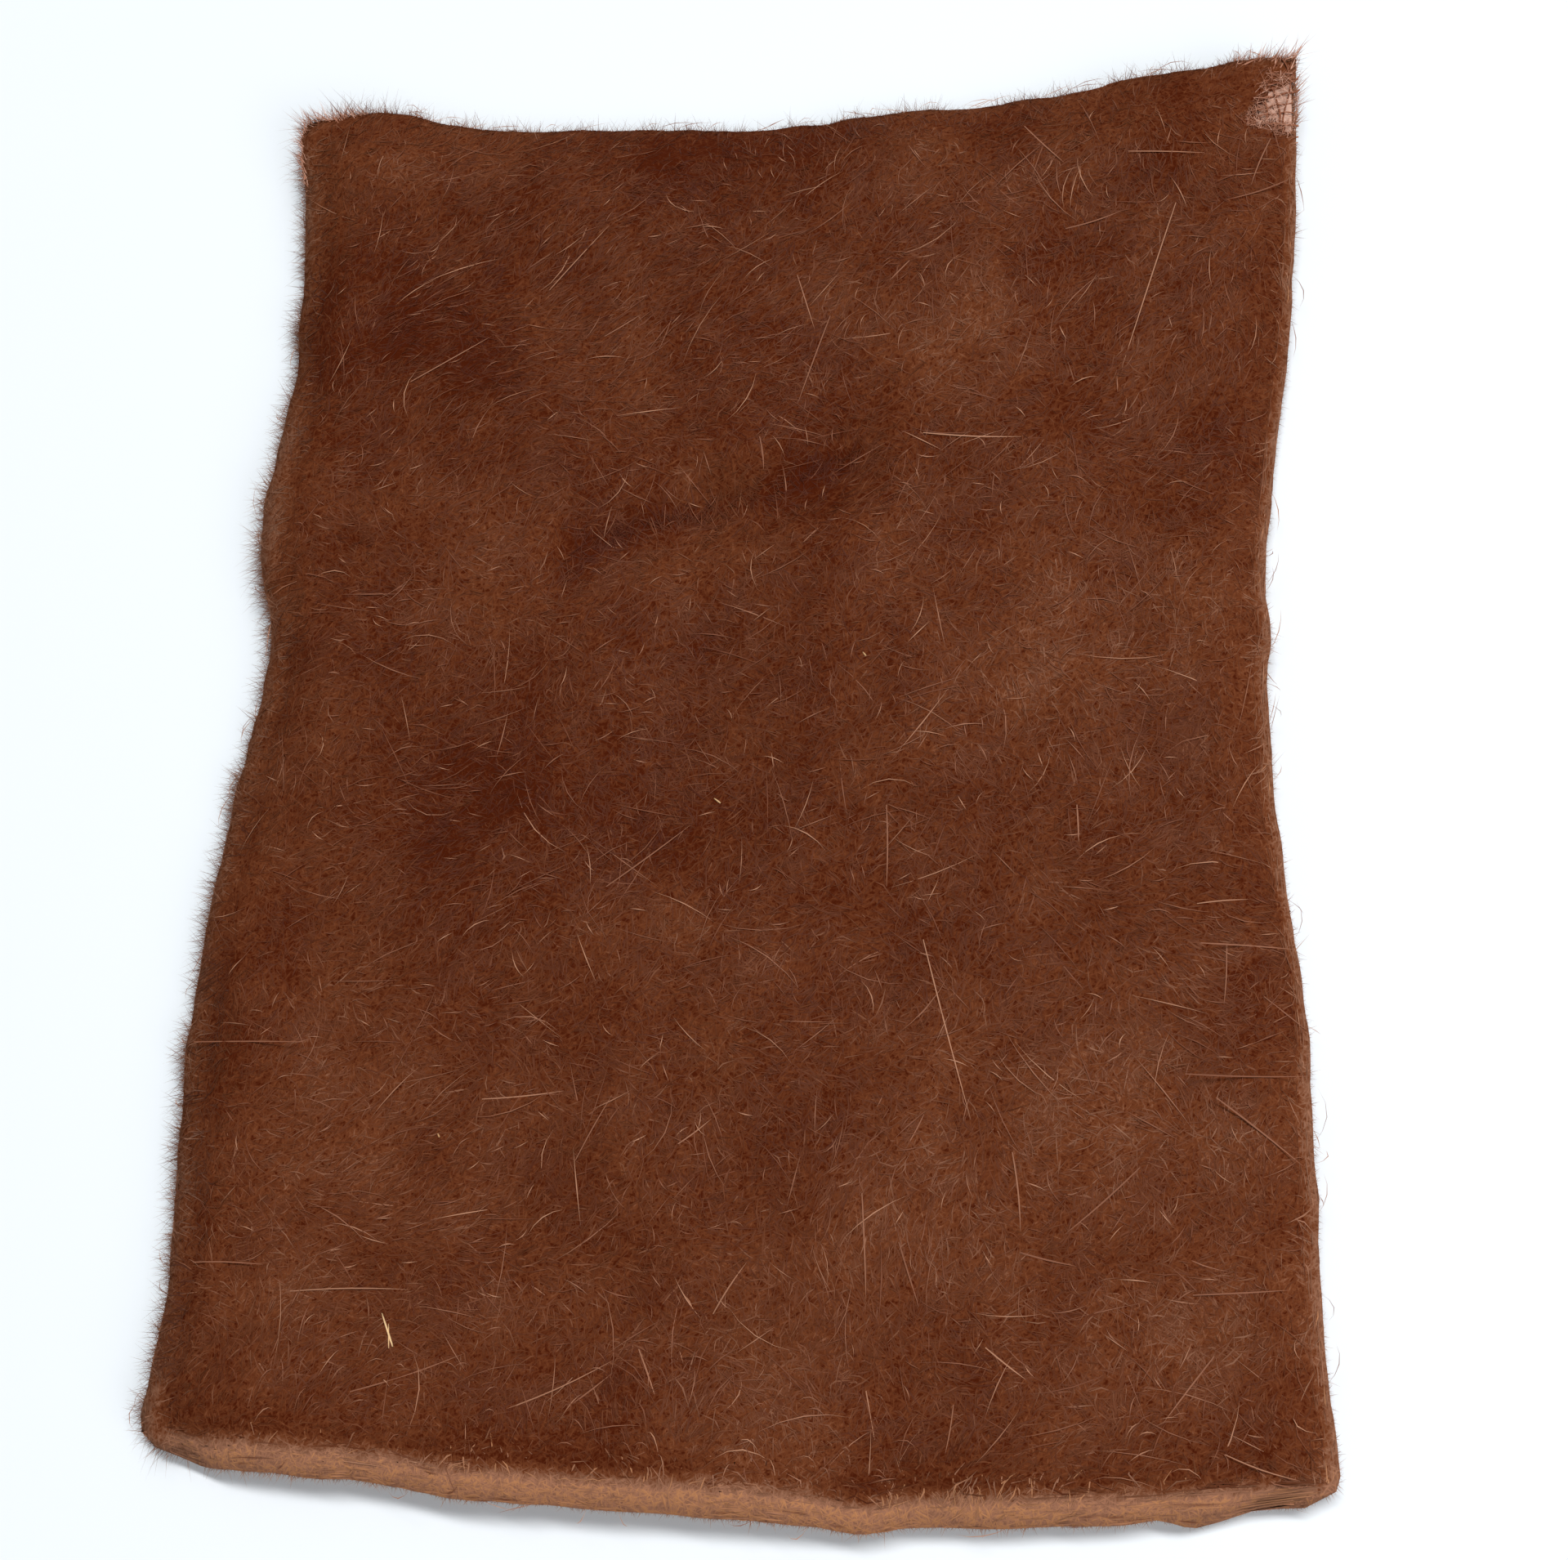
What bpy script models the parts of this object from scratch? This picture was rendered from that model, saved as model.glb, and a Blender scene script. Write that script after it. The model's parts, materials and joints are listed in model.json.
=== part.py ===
"""Cut piece of rabbit hair pile cloth, lying flat with its pile up.

One solid: a thin woven ground with a slab of short matted hair on it. The top is lumpy, with soft
folds and a dent, and the hair stands out round the rim as tapering locks. Lengths are in metres and
+Z is up. +X runs to the cloth's right edge and +Y to its far edge. The origin is on the resting
surface, under the middle of the piece, where the underside is flat.
"""

import math
import random

import bmesh
import bpy
from mathutils import Vector, noise

MM = 0.001

# Driving sizes
WIDTH = 98 * MM
LENGTH = 131 * MM
GROUND_THICK = 0.8 * MM
PILE_DEPTH = 3.8 * MM
HAIR_BROWN = "643320"

# The mesh: cells across and along the cloth
CELLS_ACROSS = 40
CELLS_ALONG = 52

# Where the cut edges stray from a plain rectangle: (place along the edge from 0 to 1, millimetres
# outwards). Places run from the left to the right edge, or from the near to the far edge.
NEAR_EDGE = (
    (0.00, 0.2),
    (0.07, 1.9),
    (0.20, 2.6),
    (0.32, 3.7),
    (0.60, 3.8),
    (0.80, 2.8),
    (0.92, 0.8),
    (1.00, -0.4),
)
FAR_EDGE = (
    (0.00, -2.6),
    (0.06, -1.4),
    (0.15, -3.1),
    (0.30, -3.7),
    (0.48, -4.6),
    (0.63, -3.4),
    (0.78, -3.0),
    (0.90, -1.7),
    (1.00, -0.6),
)
LEFT_EDGE = (
    (0.00, 0.2),
    (0.08, -0.5),
    (0.24, 0.6),
    (0.34, 0.5),
    (0.46, -0.6),
    (0.54, -2.0),
    (0.59, -2.0),
    (0.65, 0.2),
    (0.71, -0.1),
    (0.80, -1.2),
    (0.92, -0.4),
    (1.00, 0.4),
)
RIGHT_EDGE = (
    (0.00, 0.3),
    (0.08, -0.6),
    (0.26, -1.2),
    (0.36, -2.8),
    (0.46, -3.7),
    (0.62, -3.8),
    (0.72, -2.5),
    (0.80, -1.1),
    (0.90, -0.5),
    (1.00, 0.2),
)

# Stretches of the edge that curl up off the surface, in millimetres:
# (name, x0, y0, x1, y1, rise, reach inwards)
CURLS = (
    ("near edge, left", -40, -69, 6, -71, 3.2, 17),
    ("near edge, right", 6, -71, 38, -69, 1.8, 13),
    ("right edge, near", 50, -36, 51, -60, 1.5, 11),
    ("right edge hollow", 46, 10, 46, -14, 1.0, 12),
    ("far right corner", 45, 67, 51, 62, 3.4, 30),
    ("far left corner", -51, 62, -43, 64, 2.0, 22),
    ("left edge bulge", -51, 23, -51, 12, 1.4, 14),
)

# Folds and dents in the pile, in millimetres: (name, x0, y0, x1, y1, height, half width)
FOLDS = (
    ("dent, right", 7, 24, -5, 20, -1.5, 3.2),
    ("dent, left", -6, 20, -18, 14, -1.2, 3.2),
    ("lip behind the dent", -2, 26, -13, 23, 0.6, 4),
    ("valley below the dent", -5, 12, -5, -5, -0.7, 6),
    ("valley across the left", -46, -9, -2, -10, -0.6, 7),
    ("valley at the right", 24, 22, 42, 27, -0.5, 6),
    ("swelling at the left", -34, 14, -23, 11, 0.6, 9),
    ("swelling, far right", 14, 44, 26, 34, 0.5, 9),
    ("swelling, right", 10, 3, 32, 2, 0.6, 11),
    ("swelling, near", -2, -40, 28, -50, 0.6, 12),
)

# Lumps of the matted hair in millimetres: (size, height)
LUMPS = ((14, 0.55), (6.5, 0.45))

# The rim: the pile thins over RIM_ROUND to RIM_SHARE of its depth at the cut edge, and bulges out
RIM_ROUND = 5 * MM
RIM_SHARE = 0.5
RIM_BULGE = 0.5 * MM

# The far right corner has lost its hair: within BARE_REACH the pile falls to BARE_SHARE
BARE_CORNER = (49 * MM, 62 * MM)
BARE_REACH = 9 * MM
BARE_SHARE = 0.12

# Locks of hair round the rim, on two rows of wall faces: the share that carry a lock, and how far a
# lock rises for each millimetre that it stands out. Neighbours lean together over CLUMP.
LOCK_SHORTEST = 0.5 * MM
LOCK_LONGEST = 2.4 * MM
LOCK_LEAN = 0.45
CLUMP = 6 * MM
LOWER_ROW = (0.8, 0.3)
UPPER_ROW = (0.65, 0.5)
LOCK_CLEARANCE = 0.3 * MM
LOCK_SEED = 7

# Where the locks are longer, in millimetres: (name, x, y, extra length, reach)
TUFTS = (
    ("far left corner", -49, 64, 1.6, 9),
    ("far right corner", 50, 66, 0.9, 7),
    ("left edge bulge", -50, 17, 0.9, 9),
)


def smooth(share):
    """0 to 1 with a soft start and end, held flat outside."""
    share = max(0.0, min(1.0, share))
    return share * share * (3 - 2 * share)


def read_off(rows, at):
    """The value at a place on a smooth curve through a table's (place, value) rows."""
    last = len(rows) - 1
    step = max(0, min(last - 1, sum(place <= at for place, _ in rows) - 1))
    start, end = rows[step], rows[step + 1]
    before, after = rows[max(step - 1, 0)][1], rows[min(step + 2, last)][1]
    t = (at - start[0]) / (end[0] - start[0])
    slope = end[1] - before
    bend = 2 * before - 5 * start[1] + 4 * end[1] - after
    twist = 3 * start[1] - before - 3 * end[1] + after
    return start[1] + 0.5 * t * (slope + t * (bend + t * twist))


def place_of(u, v):
    """Where a point of the cloth lies, seen from above: u runs left to right and v near to far."""
    left = -WIDTH / 2 - read_off(LEFT_EDGE, v) * MM
    right = WIDTH / 2 + read_off(RIGHT_EDGE, v) * MM
    near = -LENGTH / 2 - read_off(NEAR_EDGE, u) * MM
    far = LENGTH / 2 + read_off(FAR_EDGE, u) * MM
    return left + (right - left) * u, near + (far - near) * v


def distance_to_line(x, y, x0, y0, x1, y1):
    along = (x - x0) * (x1 - x0) + (y - y0) * (y1 - y0)
    share = max(0.0, min(1.0, along / ((x1 - x0) ** 2 + (y1 - y0) ** 2)))
    return math.hypot(x - x0 - share * (x1 - x0), y - y0 - share * (y1 - y0))


def lift(x, y):
    """Height of the underside: on the surface, but where an edge curls up, ever steeper outwards.

    Curls that overlap run into each other softly, because the cubes of their heights are added.
    """
    cubes = 0.0
    for _, x0, y0, x1, y1, rise, reach in CURLS:
        away = distance_to_line(x / MM, y / MM, x0, y0, x1, y1)
        cubes += (rise * max(0.0, 1 - away / reach) ** 2) ** 3
    return cubes ** (1 / 3) * MM


def upwards(x, y):
    """The direction square to the cloth, which leans inwards where an edge curls up."""
    step = 0.5 * MM
    slope_x = (lift(x + step, y) - lift(x - step, y)) / (2 * step)
    slope_y = (lift(x, y + step) - lift(x, y - step)) / (2 * step)
    return Vector((-slope_x, -slope_y, 1)).normalized()


def relief(x, y):
    """Folds, dents and lumps of the hair."""
    height = 0.0
    for _, x0, y0, x1, y1, rise, half_width in FOLDS:
        away = distance_to_line(x / MM, y / MM, x0, y0, x1, y1)
        height += rise * smooth(1 - away / (2 * half_width))
    for size, rise in LUMPS:
        height += rise * noise.noise((x / MM / size, y / MM / size, size))
    return height * MM


def pile(x, y, inward):
    """Depth of the hair at a place this far in from the nearest cut edge."""
    rounding = min(1.0, inward / RIM_ROUND)
    rim = RIM_SHARE + (1 - RIM_SHARE) * math.sqrt(1 - (1 - rounding) ** 2)
    from_corner = math.hypot(x - BARE_CORNER[0], y - BARE_CORNER[1])
    haired = BARE_SHARE + (1 - BARE_SHARE) * smooth(from_corner / BARE_REACH - 0.4)
    return haired * rim * (PILE_DEPTH + relief(x, y))


def unit_slab():
    """A slab one unit each way on the cloth's grid, with a row of edges halfway up its walls."""
    bm = bmesh.new()
    bmesh.ops.create_grid(bm, x_segments=CELLS_ACROSS, y_segments=CELLS_ALONG, size=0.5)
    extruded = bmesh.ops.extrude_face_region(bm, geom=bm.faces[:], use_keep_orig=True)
    for item in extruded["geom"]:
        if isinstance(item, bmesh.types.BMVert):
            item.co.z = 1
    upright = [e for e in bm.edges if e.verts[0].co.z != e.verts[1].co.z]
    bmesh.ops.subdivide_edges(bm, edges=upright, cuts=1)
    bmesh.ops.recalc_face_normals(bm, faces=bm.faces[:])
    return bm


def lay_out(bm):
    """Gives each point of the unit slab its real place."""
    for vert in bm.verts:
        u, v, level = vert.co.x + 0.5, vert.co.y + 0.5, vert.co.z
        x, y = place_of(u, v)
        inward = min(u * WIDTH, (1 - u) * WIDTH, v * LENGTH, (1 - v) * LENGTH)
        foot = Vector((x, y, lift(x, y)))
        vert.co = foot + upwards(x, y) * level * (GROUND_THICK + pile(x, y, inward))


def bulge(bm, middle_row):
    """Pushes the middle of the walls out, as the hair leans over the cut edge."""
    bm.normal_update()
    pushes = [Vector((v.normal.x, v.normal.y, 0)).normalized() * RIM_BULGE for v in middle_row]
    for vert, push in zip(middle_row, pushes):
        vert.co += push


def lock_length(x, y, rng):
    length = LOCK_SHORTEST + (LOCK_LONGEST - LOCK_SHORTEST) * rng.random() ** 1.5
    for _, at_x, at_y, extra, reach in TUFTS:
        away = math.hypot(x / MM - at_x, y / MM - at_y)
        length += extra * MM * smooth(1 - away / reach)
    return length


def grow_lock(bm, face, rise, rng):
    """Draws one wall face out into a four-sided lock that ends in a point."""
    middle = face.calc_center_median()
    outward = Vector((face.normal.x, face.normal.y, 0)).normalized()
    sideways = outward.cross(Vector((0, 0, 1)))
    length = lock_length(middle.x, middle.y, rng)
    width = max(edge.calc_length() for edge in face.edges)
    lean = 0.5 * (noise.noise(middle / CLUMP) * 2 + rng.uniform(-1, 1))
    lean = max(-LOCK_LEAN, min(LOCK_LEAN, lean))
    tip = middle + outward * length + sideways * width * lean
    tip.z = max(tip.z + rise * length, LOCK_CLEARANCE)
    drawn = bmesh.ops.extrude_discrete_faces(bm, faces=[face])["faces"][0]
    bmesh.ops.pointmerge(bm, verts=drawn.verts[:], merge_co=tip)


def by_place(face):
    """A sorting key that doesn't depend on the order in which the faces were made."""
    return tuple(round(part, 4) for part in face.calc_center_median())


def hair_material():
    """Brown matted hair: rough, with no metal in it."""
    material = bpy.data.materials.new("brown_rabbit_hair")
    material.use_nodes = True
    shader = material.node_tree.nodes["Principled BSDF"]
    colour = [int(HAIR_BROWN[i : i + 2], 16) / 255 for i in (0, 2, 4)]
    linear = [c / 12.92 if c <= 0.04045 else ((c + 0.055) / 1.055) ** 2.4 for c in colour]
    shader.inputs["Base Color"].default_value = (*linear, 1)
    shader.inputs["Roughness"].default_value = 0.85
    shader.inputs["Metallic"].default_value = 0
    return material


def hair_pile_cloth():
    """The whole cut piece, ground and hair in one."""
    bm = unit_slab()
    walls = sorted((f for f in bm.faces if abs(f.normal.z) < 0.5), key=by_place)
    rows = [UPPER_ROW if f.calc_center_median().z > 0.5 else LOWER_ROW for f in walls]
    middle_row = [v for v in bm.verts if v.co.z == 0.5]
    lay_out(bm)
    bulge(bm, middle_row)
    rng = random.Random(LOCK_SEED)
    for face, (share, rise) in zip(walls, rows):
        if rng.random() < share:
            grow_lock(bm, face, rise, rng)
    mesh = bpy.data.meshes.new("hair_pile_cloth")
    bm.to_mesh(mesh)
    bm.free()
    mesh.shade_smooth()
    mesh.set_sharp_from_angle(angle=math.radians(50))
    mesh.materials.append(hair_material())
    return bpy.data.objects.new("hair_pile_cloth", mesh)


def main():
    for old in list(bpy.data.objects):
        bpy.data.objects.remove(old)
    collection = bpy.data.collections.new("rabbit_hair_pile_cloth")
    bpy.context.scene.collection.children.link(collection)
    collection.objects.link(hair_pile_cloth())


main()
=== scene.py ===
# %% [markdown]
# # A cut piece of rabbit hair pile cloth
# Short brown rabbit hair stands on a thin woven ground. The piece was cut from a length with scissors,
# so its edges are bare and hairy, and the weave shows where one corner has shed its hair. This lesson
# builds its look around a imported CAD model, one slab of the right size, that stays fixed.

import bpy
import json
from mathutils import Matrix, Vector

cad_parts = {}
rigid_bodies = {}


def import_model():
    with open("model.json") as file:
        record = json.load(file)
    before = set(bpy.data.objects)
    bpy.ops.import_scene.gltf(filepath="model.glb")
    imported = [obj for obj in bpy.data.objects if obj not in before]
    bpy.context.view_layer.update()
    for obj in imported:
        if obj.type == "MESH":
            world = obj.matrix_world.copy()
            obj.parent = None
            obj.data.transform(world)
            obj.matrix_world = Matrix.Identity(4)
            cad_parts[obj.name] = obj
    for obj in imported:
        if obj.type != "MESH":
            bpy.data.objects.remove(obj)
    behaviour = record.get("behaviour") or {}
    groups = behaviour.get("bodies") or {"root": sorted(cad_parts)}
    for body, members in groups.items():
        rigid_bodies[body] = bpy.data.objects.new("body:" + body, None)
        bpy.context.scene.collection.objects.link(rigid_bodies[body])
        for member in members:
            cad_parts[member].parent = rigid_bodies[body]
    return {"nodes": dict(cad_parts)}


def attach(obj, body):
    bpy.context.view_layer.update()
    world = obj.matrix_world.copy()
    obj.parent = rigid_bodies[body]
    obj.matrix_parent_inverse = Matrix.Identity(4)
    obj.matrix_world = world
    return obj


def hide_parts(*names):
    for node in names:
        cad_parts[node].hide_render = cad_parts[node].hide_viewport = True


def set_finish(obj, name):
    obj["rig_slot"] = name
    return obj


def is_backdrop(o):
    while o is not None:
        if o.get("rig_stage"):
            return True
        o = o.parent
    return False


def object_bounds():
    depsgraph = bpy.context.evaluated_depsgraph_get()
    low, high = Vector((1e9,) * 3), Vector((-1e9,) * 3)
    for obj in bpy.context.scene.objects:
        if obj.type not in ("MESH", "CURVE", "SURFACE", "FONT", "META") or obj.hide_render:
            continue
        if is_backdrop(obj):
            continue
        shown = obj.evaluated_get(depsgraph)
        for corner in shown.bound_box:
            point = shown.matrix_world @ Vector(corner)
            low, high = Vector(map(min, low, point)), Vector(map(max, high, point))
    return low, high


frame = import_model()
cad_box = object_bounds()
print("CAD box in metres:", [tuple(round(c, 4) for c in corner) for corner in cad_box])

# %% Modules, units and the photo's frame
import json
import math

import bmesh
import bpy
import numpy as np
from mathutils import Matrix, Vector, noise
from mathutils.bvhtree import BVHTree

MM = 0.001
PHOTO_WIDTH = 1919
PHOTO_HEIGHT = 1909
rng = np.random.default_rng(11)
print("a photo of", PHOTO_WIDTH, "by", PHOTO_HEIGHT, "pixels")

# %% [markdown]
# ## The camera
# A phone looked down on the cloth from about 17 cm, tilted by 20 degrees. Turning about Z, then tilting
# about X, then turning the camera about its own axis gives any pose in three plain angles. The camera
# comes first, because some hairs are later placed by where they show in the photo.

# %% Camera
CAMERA_PLACE = Vector((32.7, -60.7, 174.7)) * MM
CAMERA_TURN = math.radians(28.93)
CAMERA_TILT = math.radians(19.72)
CAMERA_ROLL = math.radians(-27.55)
LENS = 46.2
SENSOR = 36.0

camera_pose = (
    Matrix.Translation(CAMERA_PLACE)
    @ Matrix.Rotation(CAMERA_TURN, 4, "Z")
    @ Matrix.Rotation(CAMERA_TILT, 4, "X")
    @ Matrix.Rotation(CAMERA_ROLL, 4, "Z")
)


def linked(name, data):
    """A new object in the scene."""
    made = bpy.data.objects.new(name, data)
    bpy.context.scene.collection.objects.link(made)
    return made


camera = linked("camera", bpy.data.cameras.new("camera"))
camera.matrix_world = camera_pose
camera.data.lens = LENS
camera.data.sensor_width = SENSOR
camera.data.clip_start = 5 * MM
bpy.context.scene.camera = camera


def sight_line(px, py):
    """The direction in which the camera sees a pixel of the photo."""
    focal = LENS / SENSOR * PHOTO_WIDTH
    aim = Vector((px - PHOTO_WIDTH / 2, PHOTO_HEIGHT / 2 - py, -focal))
    return (camera_pose.to_3x3() @ aim).normalized()


print("the camera stands", round(CAMERA_PLACE.length / MM), "mm from the cloth's middle")

# %% [markdown]
# ## Reading the slab
# The looks have to sit exactly on the CAD slab, so its shape is read with rays and no size is typed
# again. A BVH tree answers where a ray meets the mesh. The CAD mesh is loose triangles, so a merged
# copy of it is searched. Short locks stand out round the rim: they are narrow, so the cut line is what
# is left when everything narrower than a lock is shaved off the profile of each side.

# %% The slab as something to aim rays at
slab = bmesh.new()
slab.from_mesh(frame["nodes"]["hair_pile_cloth"].data)
bmesh.ops.remove_doubles(slab, verts=slab.verts[:], dist=0.001 * MM)
slab_tree = BVHTree.FromBMesh(slab)
low, high = cad_box
print("the slab has", len(slab.verts), "points")
slab.free()

# %% The four cut edges
UP = Vector((0, 0, 1))
BELOW = -5 * MM
PROFILE_STEP = 0.25 * MM
INWARD_STEP = 0.1 * MM
DEEPEST_GAP = 40 * MM
CORNER_INSET = 4 * MM
LOCK_WIDTH = 2.7 * MM
SOFTEN = 3 * MM


def depth_of_gap(start, inward):
    """How far a point outside the cloth moves inwards before it lies under the cloth."""
    for step in range(round(DEEPEST_GAP / INWARD_STEP)):
        point = start + inward * step * INWARD_STEP
        if slab_tree.ray_cast(point, UP)[0] is not None:
            return step * INWARD_STEP
    return 0.0


def window_of(values, half, reduce):
    """Each value of a row becomes the highest, lowest or mean one of those beside it."""
    padded = np.pad(values, half, mode="edge")
    return reduce(np.lib.stride_tricks.sliding_window_view(padded, 2 * half + 1), axis=1)


def cut_edge(side, at):
    """One side's edge: its reach at each sampled place, with the locks shaved off."""
    gaps = np.array([depth_of_gap(*side(place)) for place in at])
    half = round(LOCK_WIDTH / PROFILE_STEP / 2)
    shaved = window_of(window_of(gaps, half, np.max), half, np.min)
    return window_of(shaved, round(SOFTEN / PROFILE_STEP / 2), np.mean)


rows = np.arange(low.y + CORNER_INSET, high.y - CORNER_INSET, PROFILE_STEP)
columns = np.arange(low.x + CORNER_INSET, high.x - CORNER_INSET, PROFILE_STEP)
left_edge = low.x + cut_edge(lambda y: (Vector((low.x, y, BELOW)), Vector((1, 0, 0))), rows)
right_edge = high.x - cut_edge(lambda y: (Vector((high.x, y, BELOW)), Vector((-1, 0, 0))), rows)
near_edge = low.y + cut_edge(lambda x: (Vector((x, low.y, BELOW)), Vector((0, 1, 0))), columns)
far_edge = high.y - cut_edge(lambda x: (Vector((x, high.y, BELOW)), Vector((0, -1, 0))), columns)
width = float(np.mean(right_edge - left_edge))
length = float(np.mean(far_edge - near_edge))
print("mean cut size in mm:", round(width / MM, 1), "by", round(length / MM, 1))

# %% Any place on the cloth from two shares
# u runs from the left edge to the right one, and v from the near edge to the far one. A place that
# depends on its own answer has settled after a few rounds.
ROUNDS = 4


def place_of(u, v):
    """Where the cloth's shares u and v lie, seen from above."""
    y = low.y + (high.y - low.y) * v
    for _ in range(ROUNDS):
        left, right = np.interp(y, rows, left_edge), np.interp(y, rows, right_edge)
        x = left + (right - left) * u
        near, far = np.interp(x, columns, near_edge), np.interp(x, columns, far_edge)
        y = near + (far - near) * v
    return x, y


def share_of(x, y):
    """The shares u and v of a place seen from above."""
    left, right = np.interp(y, rows, left_edge), np.interp(y, rows, right_edge)
    near, far = np.interp(x, columns, near_edge), np.interp(x, columns, far_edge)
    return (x - left) / (right - left), (y - near) / (far - near)


# %% The underside and the pile's depth on a grid
GRID_STEP = 1 * MM
EDGE_INSET = 0.6 * MM
RAY_CLEARANCE = 0.05 * MM
grid_u, grid_v = np.meshgrid(
    np.linspace(0, 1, round(width / GRID_STEP)), np.linspace(0, 1, round(length / GRID_STEP))
)


def unit(vectors):
    """Each vector at a length of 1."""
    return vectors / np.maximum(np.linalg.norm(vectors, axis=-1, keepdims=True), 1e-9)


def square_to(surface):
    """The direction square to each point of a surface that is sampled on the grid, facing up."""
    return unit(np.cross(np.gradient(surface, axis=1), np.gradient(surface, axis=0)))


def cast(points, aims):
    """How far each ray goes before it meets the slab, or not a number."""
    hits = [slab_tree.ray_cast(Vector(p), Vector(a))[3] for p, a in zip(points, aims)]
    return np.array([math.nan if hit is None else hit for hit in hits])


def fill_gaps(values):
    """Rays that met nothing take the middle value of the rest."""
    return np.where(np.isnan(values), np.nanmedian(values), values)


def steadied(values, half):
    """Each value of a grid becomes the middle one of those round it, so a stray ray leaves no mark."""
    window = (2 * half + 1, 2 * half + 1)
    around = np.lib.stride_tricks.sliding_window_view(np.pad(values, half, mode="edge"), window)
    return np.median(around, axis=(2, 3))


x, y = place_of(grid_u, grid_v)
inset_u = np.clip(grid_u, EDGE_INSET / width, 1 - EDGE_INSET / width)
inset_v = np.clip(grid_v, EDGE_INSET / length, 1 - EDGE_INSET / length)
under = np.stack([*place_of(inset_u, inset_v), np.full_like(x, BELOW)], -1).reshape(-1, 3)
rise = fill_gaps(cast(under, np.broadcast_to((0, 0, 1), under.shape)))
height_above_floor = steadied(np.maximum(rise.reshape(x.shape) + BELOW, 0), 1)
print("corners of the underside in mm:", (height_above_floor[[0, 0, -1, -1], [0, -1, 0, -1]] / MM).round(2))
foot = np.stack([x, y, height_above_floor], -1)
normal = square_to(foot)

start = under.reshape(foot.shape) * (1, 1, 0) + foot * (0, 0, 1) + normal * RAY_CLEARANCE
reach = cast(start.reshape(-1, 3), normal.reshape(-1, 3)).reshape(x.shape)
depth = steadied(fill_gaps(reach), 2)
top_normal = square_to(foot + normal * depth[..., None])
print("the pile cloth is", (np.percentile(depth, (0, 50, 100)) / MM).round(1), "mm deep")

# %% Reading between the grid's points


def read(grid, u, v):
    """A grid's value at the shares u and v, worked out between its points."""
    across = np.clip(u, 0, 1) * (grid.shape[1] - 1)
    along = np.clip(v, 0, 1) * (grid.shape[0] - 1)
    i = np.minimum(across.astype(int), grid.shape[1] - 2)
    j = np.minimum(along.astype(int), grid.shape[0] - 2)
    s, t = across - i, along - j
    if grid.ndim == 3:
        s, t = s[..., None], t[..., None]
    near = grid[j, i] * (1 - s) + grid[j, i + 1] * s
    far = grid[j + 1, i] * (1 - s) + grid[j + 1, i + 1] * s
    return near * (1 - t) + far * t


def on_cloth(u, v, level):
    """A point of the cloth: level 0 is its underside and level 1 the top of its pile."""
    height = np.asarray(level * read(depth, u, v))[..., None]
    return read(foot, u, v) + unit(read(normal, u, v)) * height


middle = on_cloth(np.array([0.5]), np.array([0.5]), 1.0)[0]
print("the pile's middle stands", round(middle[2] / MM, 2), "mm high")

# %% [markdown]
# ## Copies of one small shape
# Rabbit hair is thousands of fine tapering hairs. Blender can grow them as curves or by Geometry Nodes,
# but the finished part is a mesh, so one little cone is made with a bmesh operator and its points are
# copied to every root with numpy. A closed cone of three sides is the cheapest thing that still reads
# as a hair. A hair that lies on the pile is a spindle, a cone whose root is drawn out to a point too, so
# that neither end shows as a cut. The UV map holds two facts that the material reads: u is the hair's
# tone, and v runs from root to tip.

# %% The template hairs


def upright(sides, tip_radius, bottom):
    """A closed cone or tube along +Z from bottom to 1, with a radius of 1 at its bottom."""
    bm = bmesh.new()
    made = {"cap_ends": True, "cap_tris": False, "segments": sides, "depth": 1 - bottom}
    bmesh.ops.create_cone(bm, radius1=1, radius2=tip_radius, **made)
    bmesh.ops.translate(bm, verts=bm.verts[:], vec=(0, 0, (1 + bottom) / 2))
    return bm


def ringed(bm, rings):
    """A template's points and its triangles, after rings are cut across its long edges."""
    if rings:
        long_edges = [e for e in bm.edges if abs(e.verts[0].co.z - e.verts[1].co.z) > 0.4]
        bmesh.ops.subdivide_edges(bm, edges=long_edges, cuts=rings)
    bmesh.ops.triangulate(bm, faces=bm.faces[:])
    bmesh.ops.recalc_face_normals(bm, faces=bm.faces[:])
    bm.verts.index_update()
    points = np.array([vert.co for vert in bm.verts])
    faces = np.array([[vert.index for vert in face.verts] for face in bm.faces])
    bm.free()
    return points, faces


def pointed_hair(rings):
    """A thin cone that stands on its flat root."""
    return ringed(upright(sides=3, tip_radius=0, bottom=0), rings)


def spindle(rings):
    """A hair that is pointed at both ends: a cone whose flat root is poked out to a point."""
    bm = upright(sides=3, tip_radius=0, bottom=0.5)
    root = [face for face in bm.faces if face.calc_center_median().z < 0.55]
    bmesh.ops.poke(bm, faces=root)["verts"][0].co.z = 0
    return ringed(bm, rings)


def blunt_tube(sides, rings):
    """A tube that takes its width from the path it is drawn along."""
    return ringed(upright(sides, tip_radius=1, bottom=0), rings)


SHORT_HAIR = pointed_hair(rings=0)
BENT_HAIR = pointed_hair(rings=1)
LYING_HAIR = spindle(rings=0)
LOOSE_HAIR = spindle(rings=1)
LONG_HAIR = blunt_tube(sides=3, rings=5)
TEMPLATES = (SHORT_HAIR, BENT_HAIR, LYING_HAIR, LOOSE_HAIR, LONG_HAIR)
print("triangles in a short, bent, lying, loose and long hair:", [len(faces) for _, faces in TEMPLATES])

# %% One mesh from many copies
TONE_WIDTH = 0.004
MAP_MARGIN = 0.02
OFF_THE_FLOOR = 0.02 * MM


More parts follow.
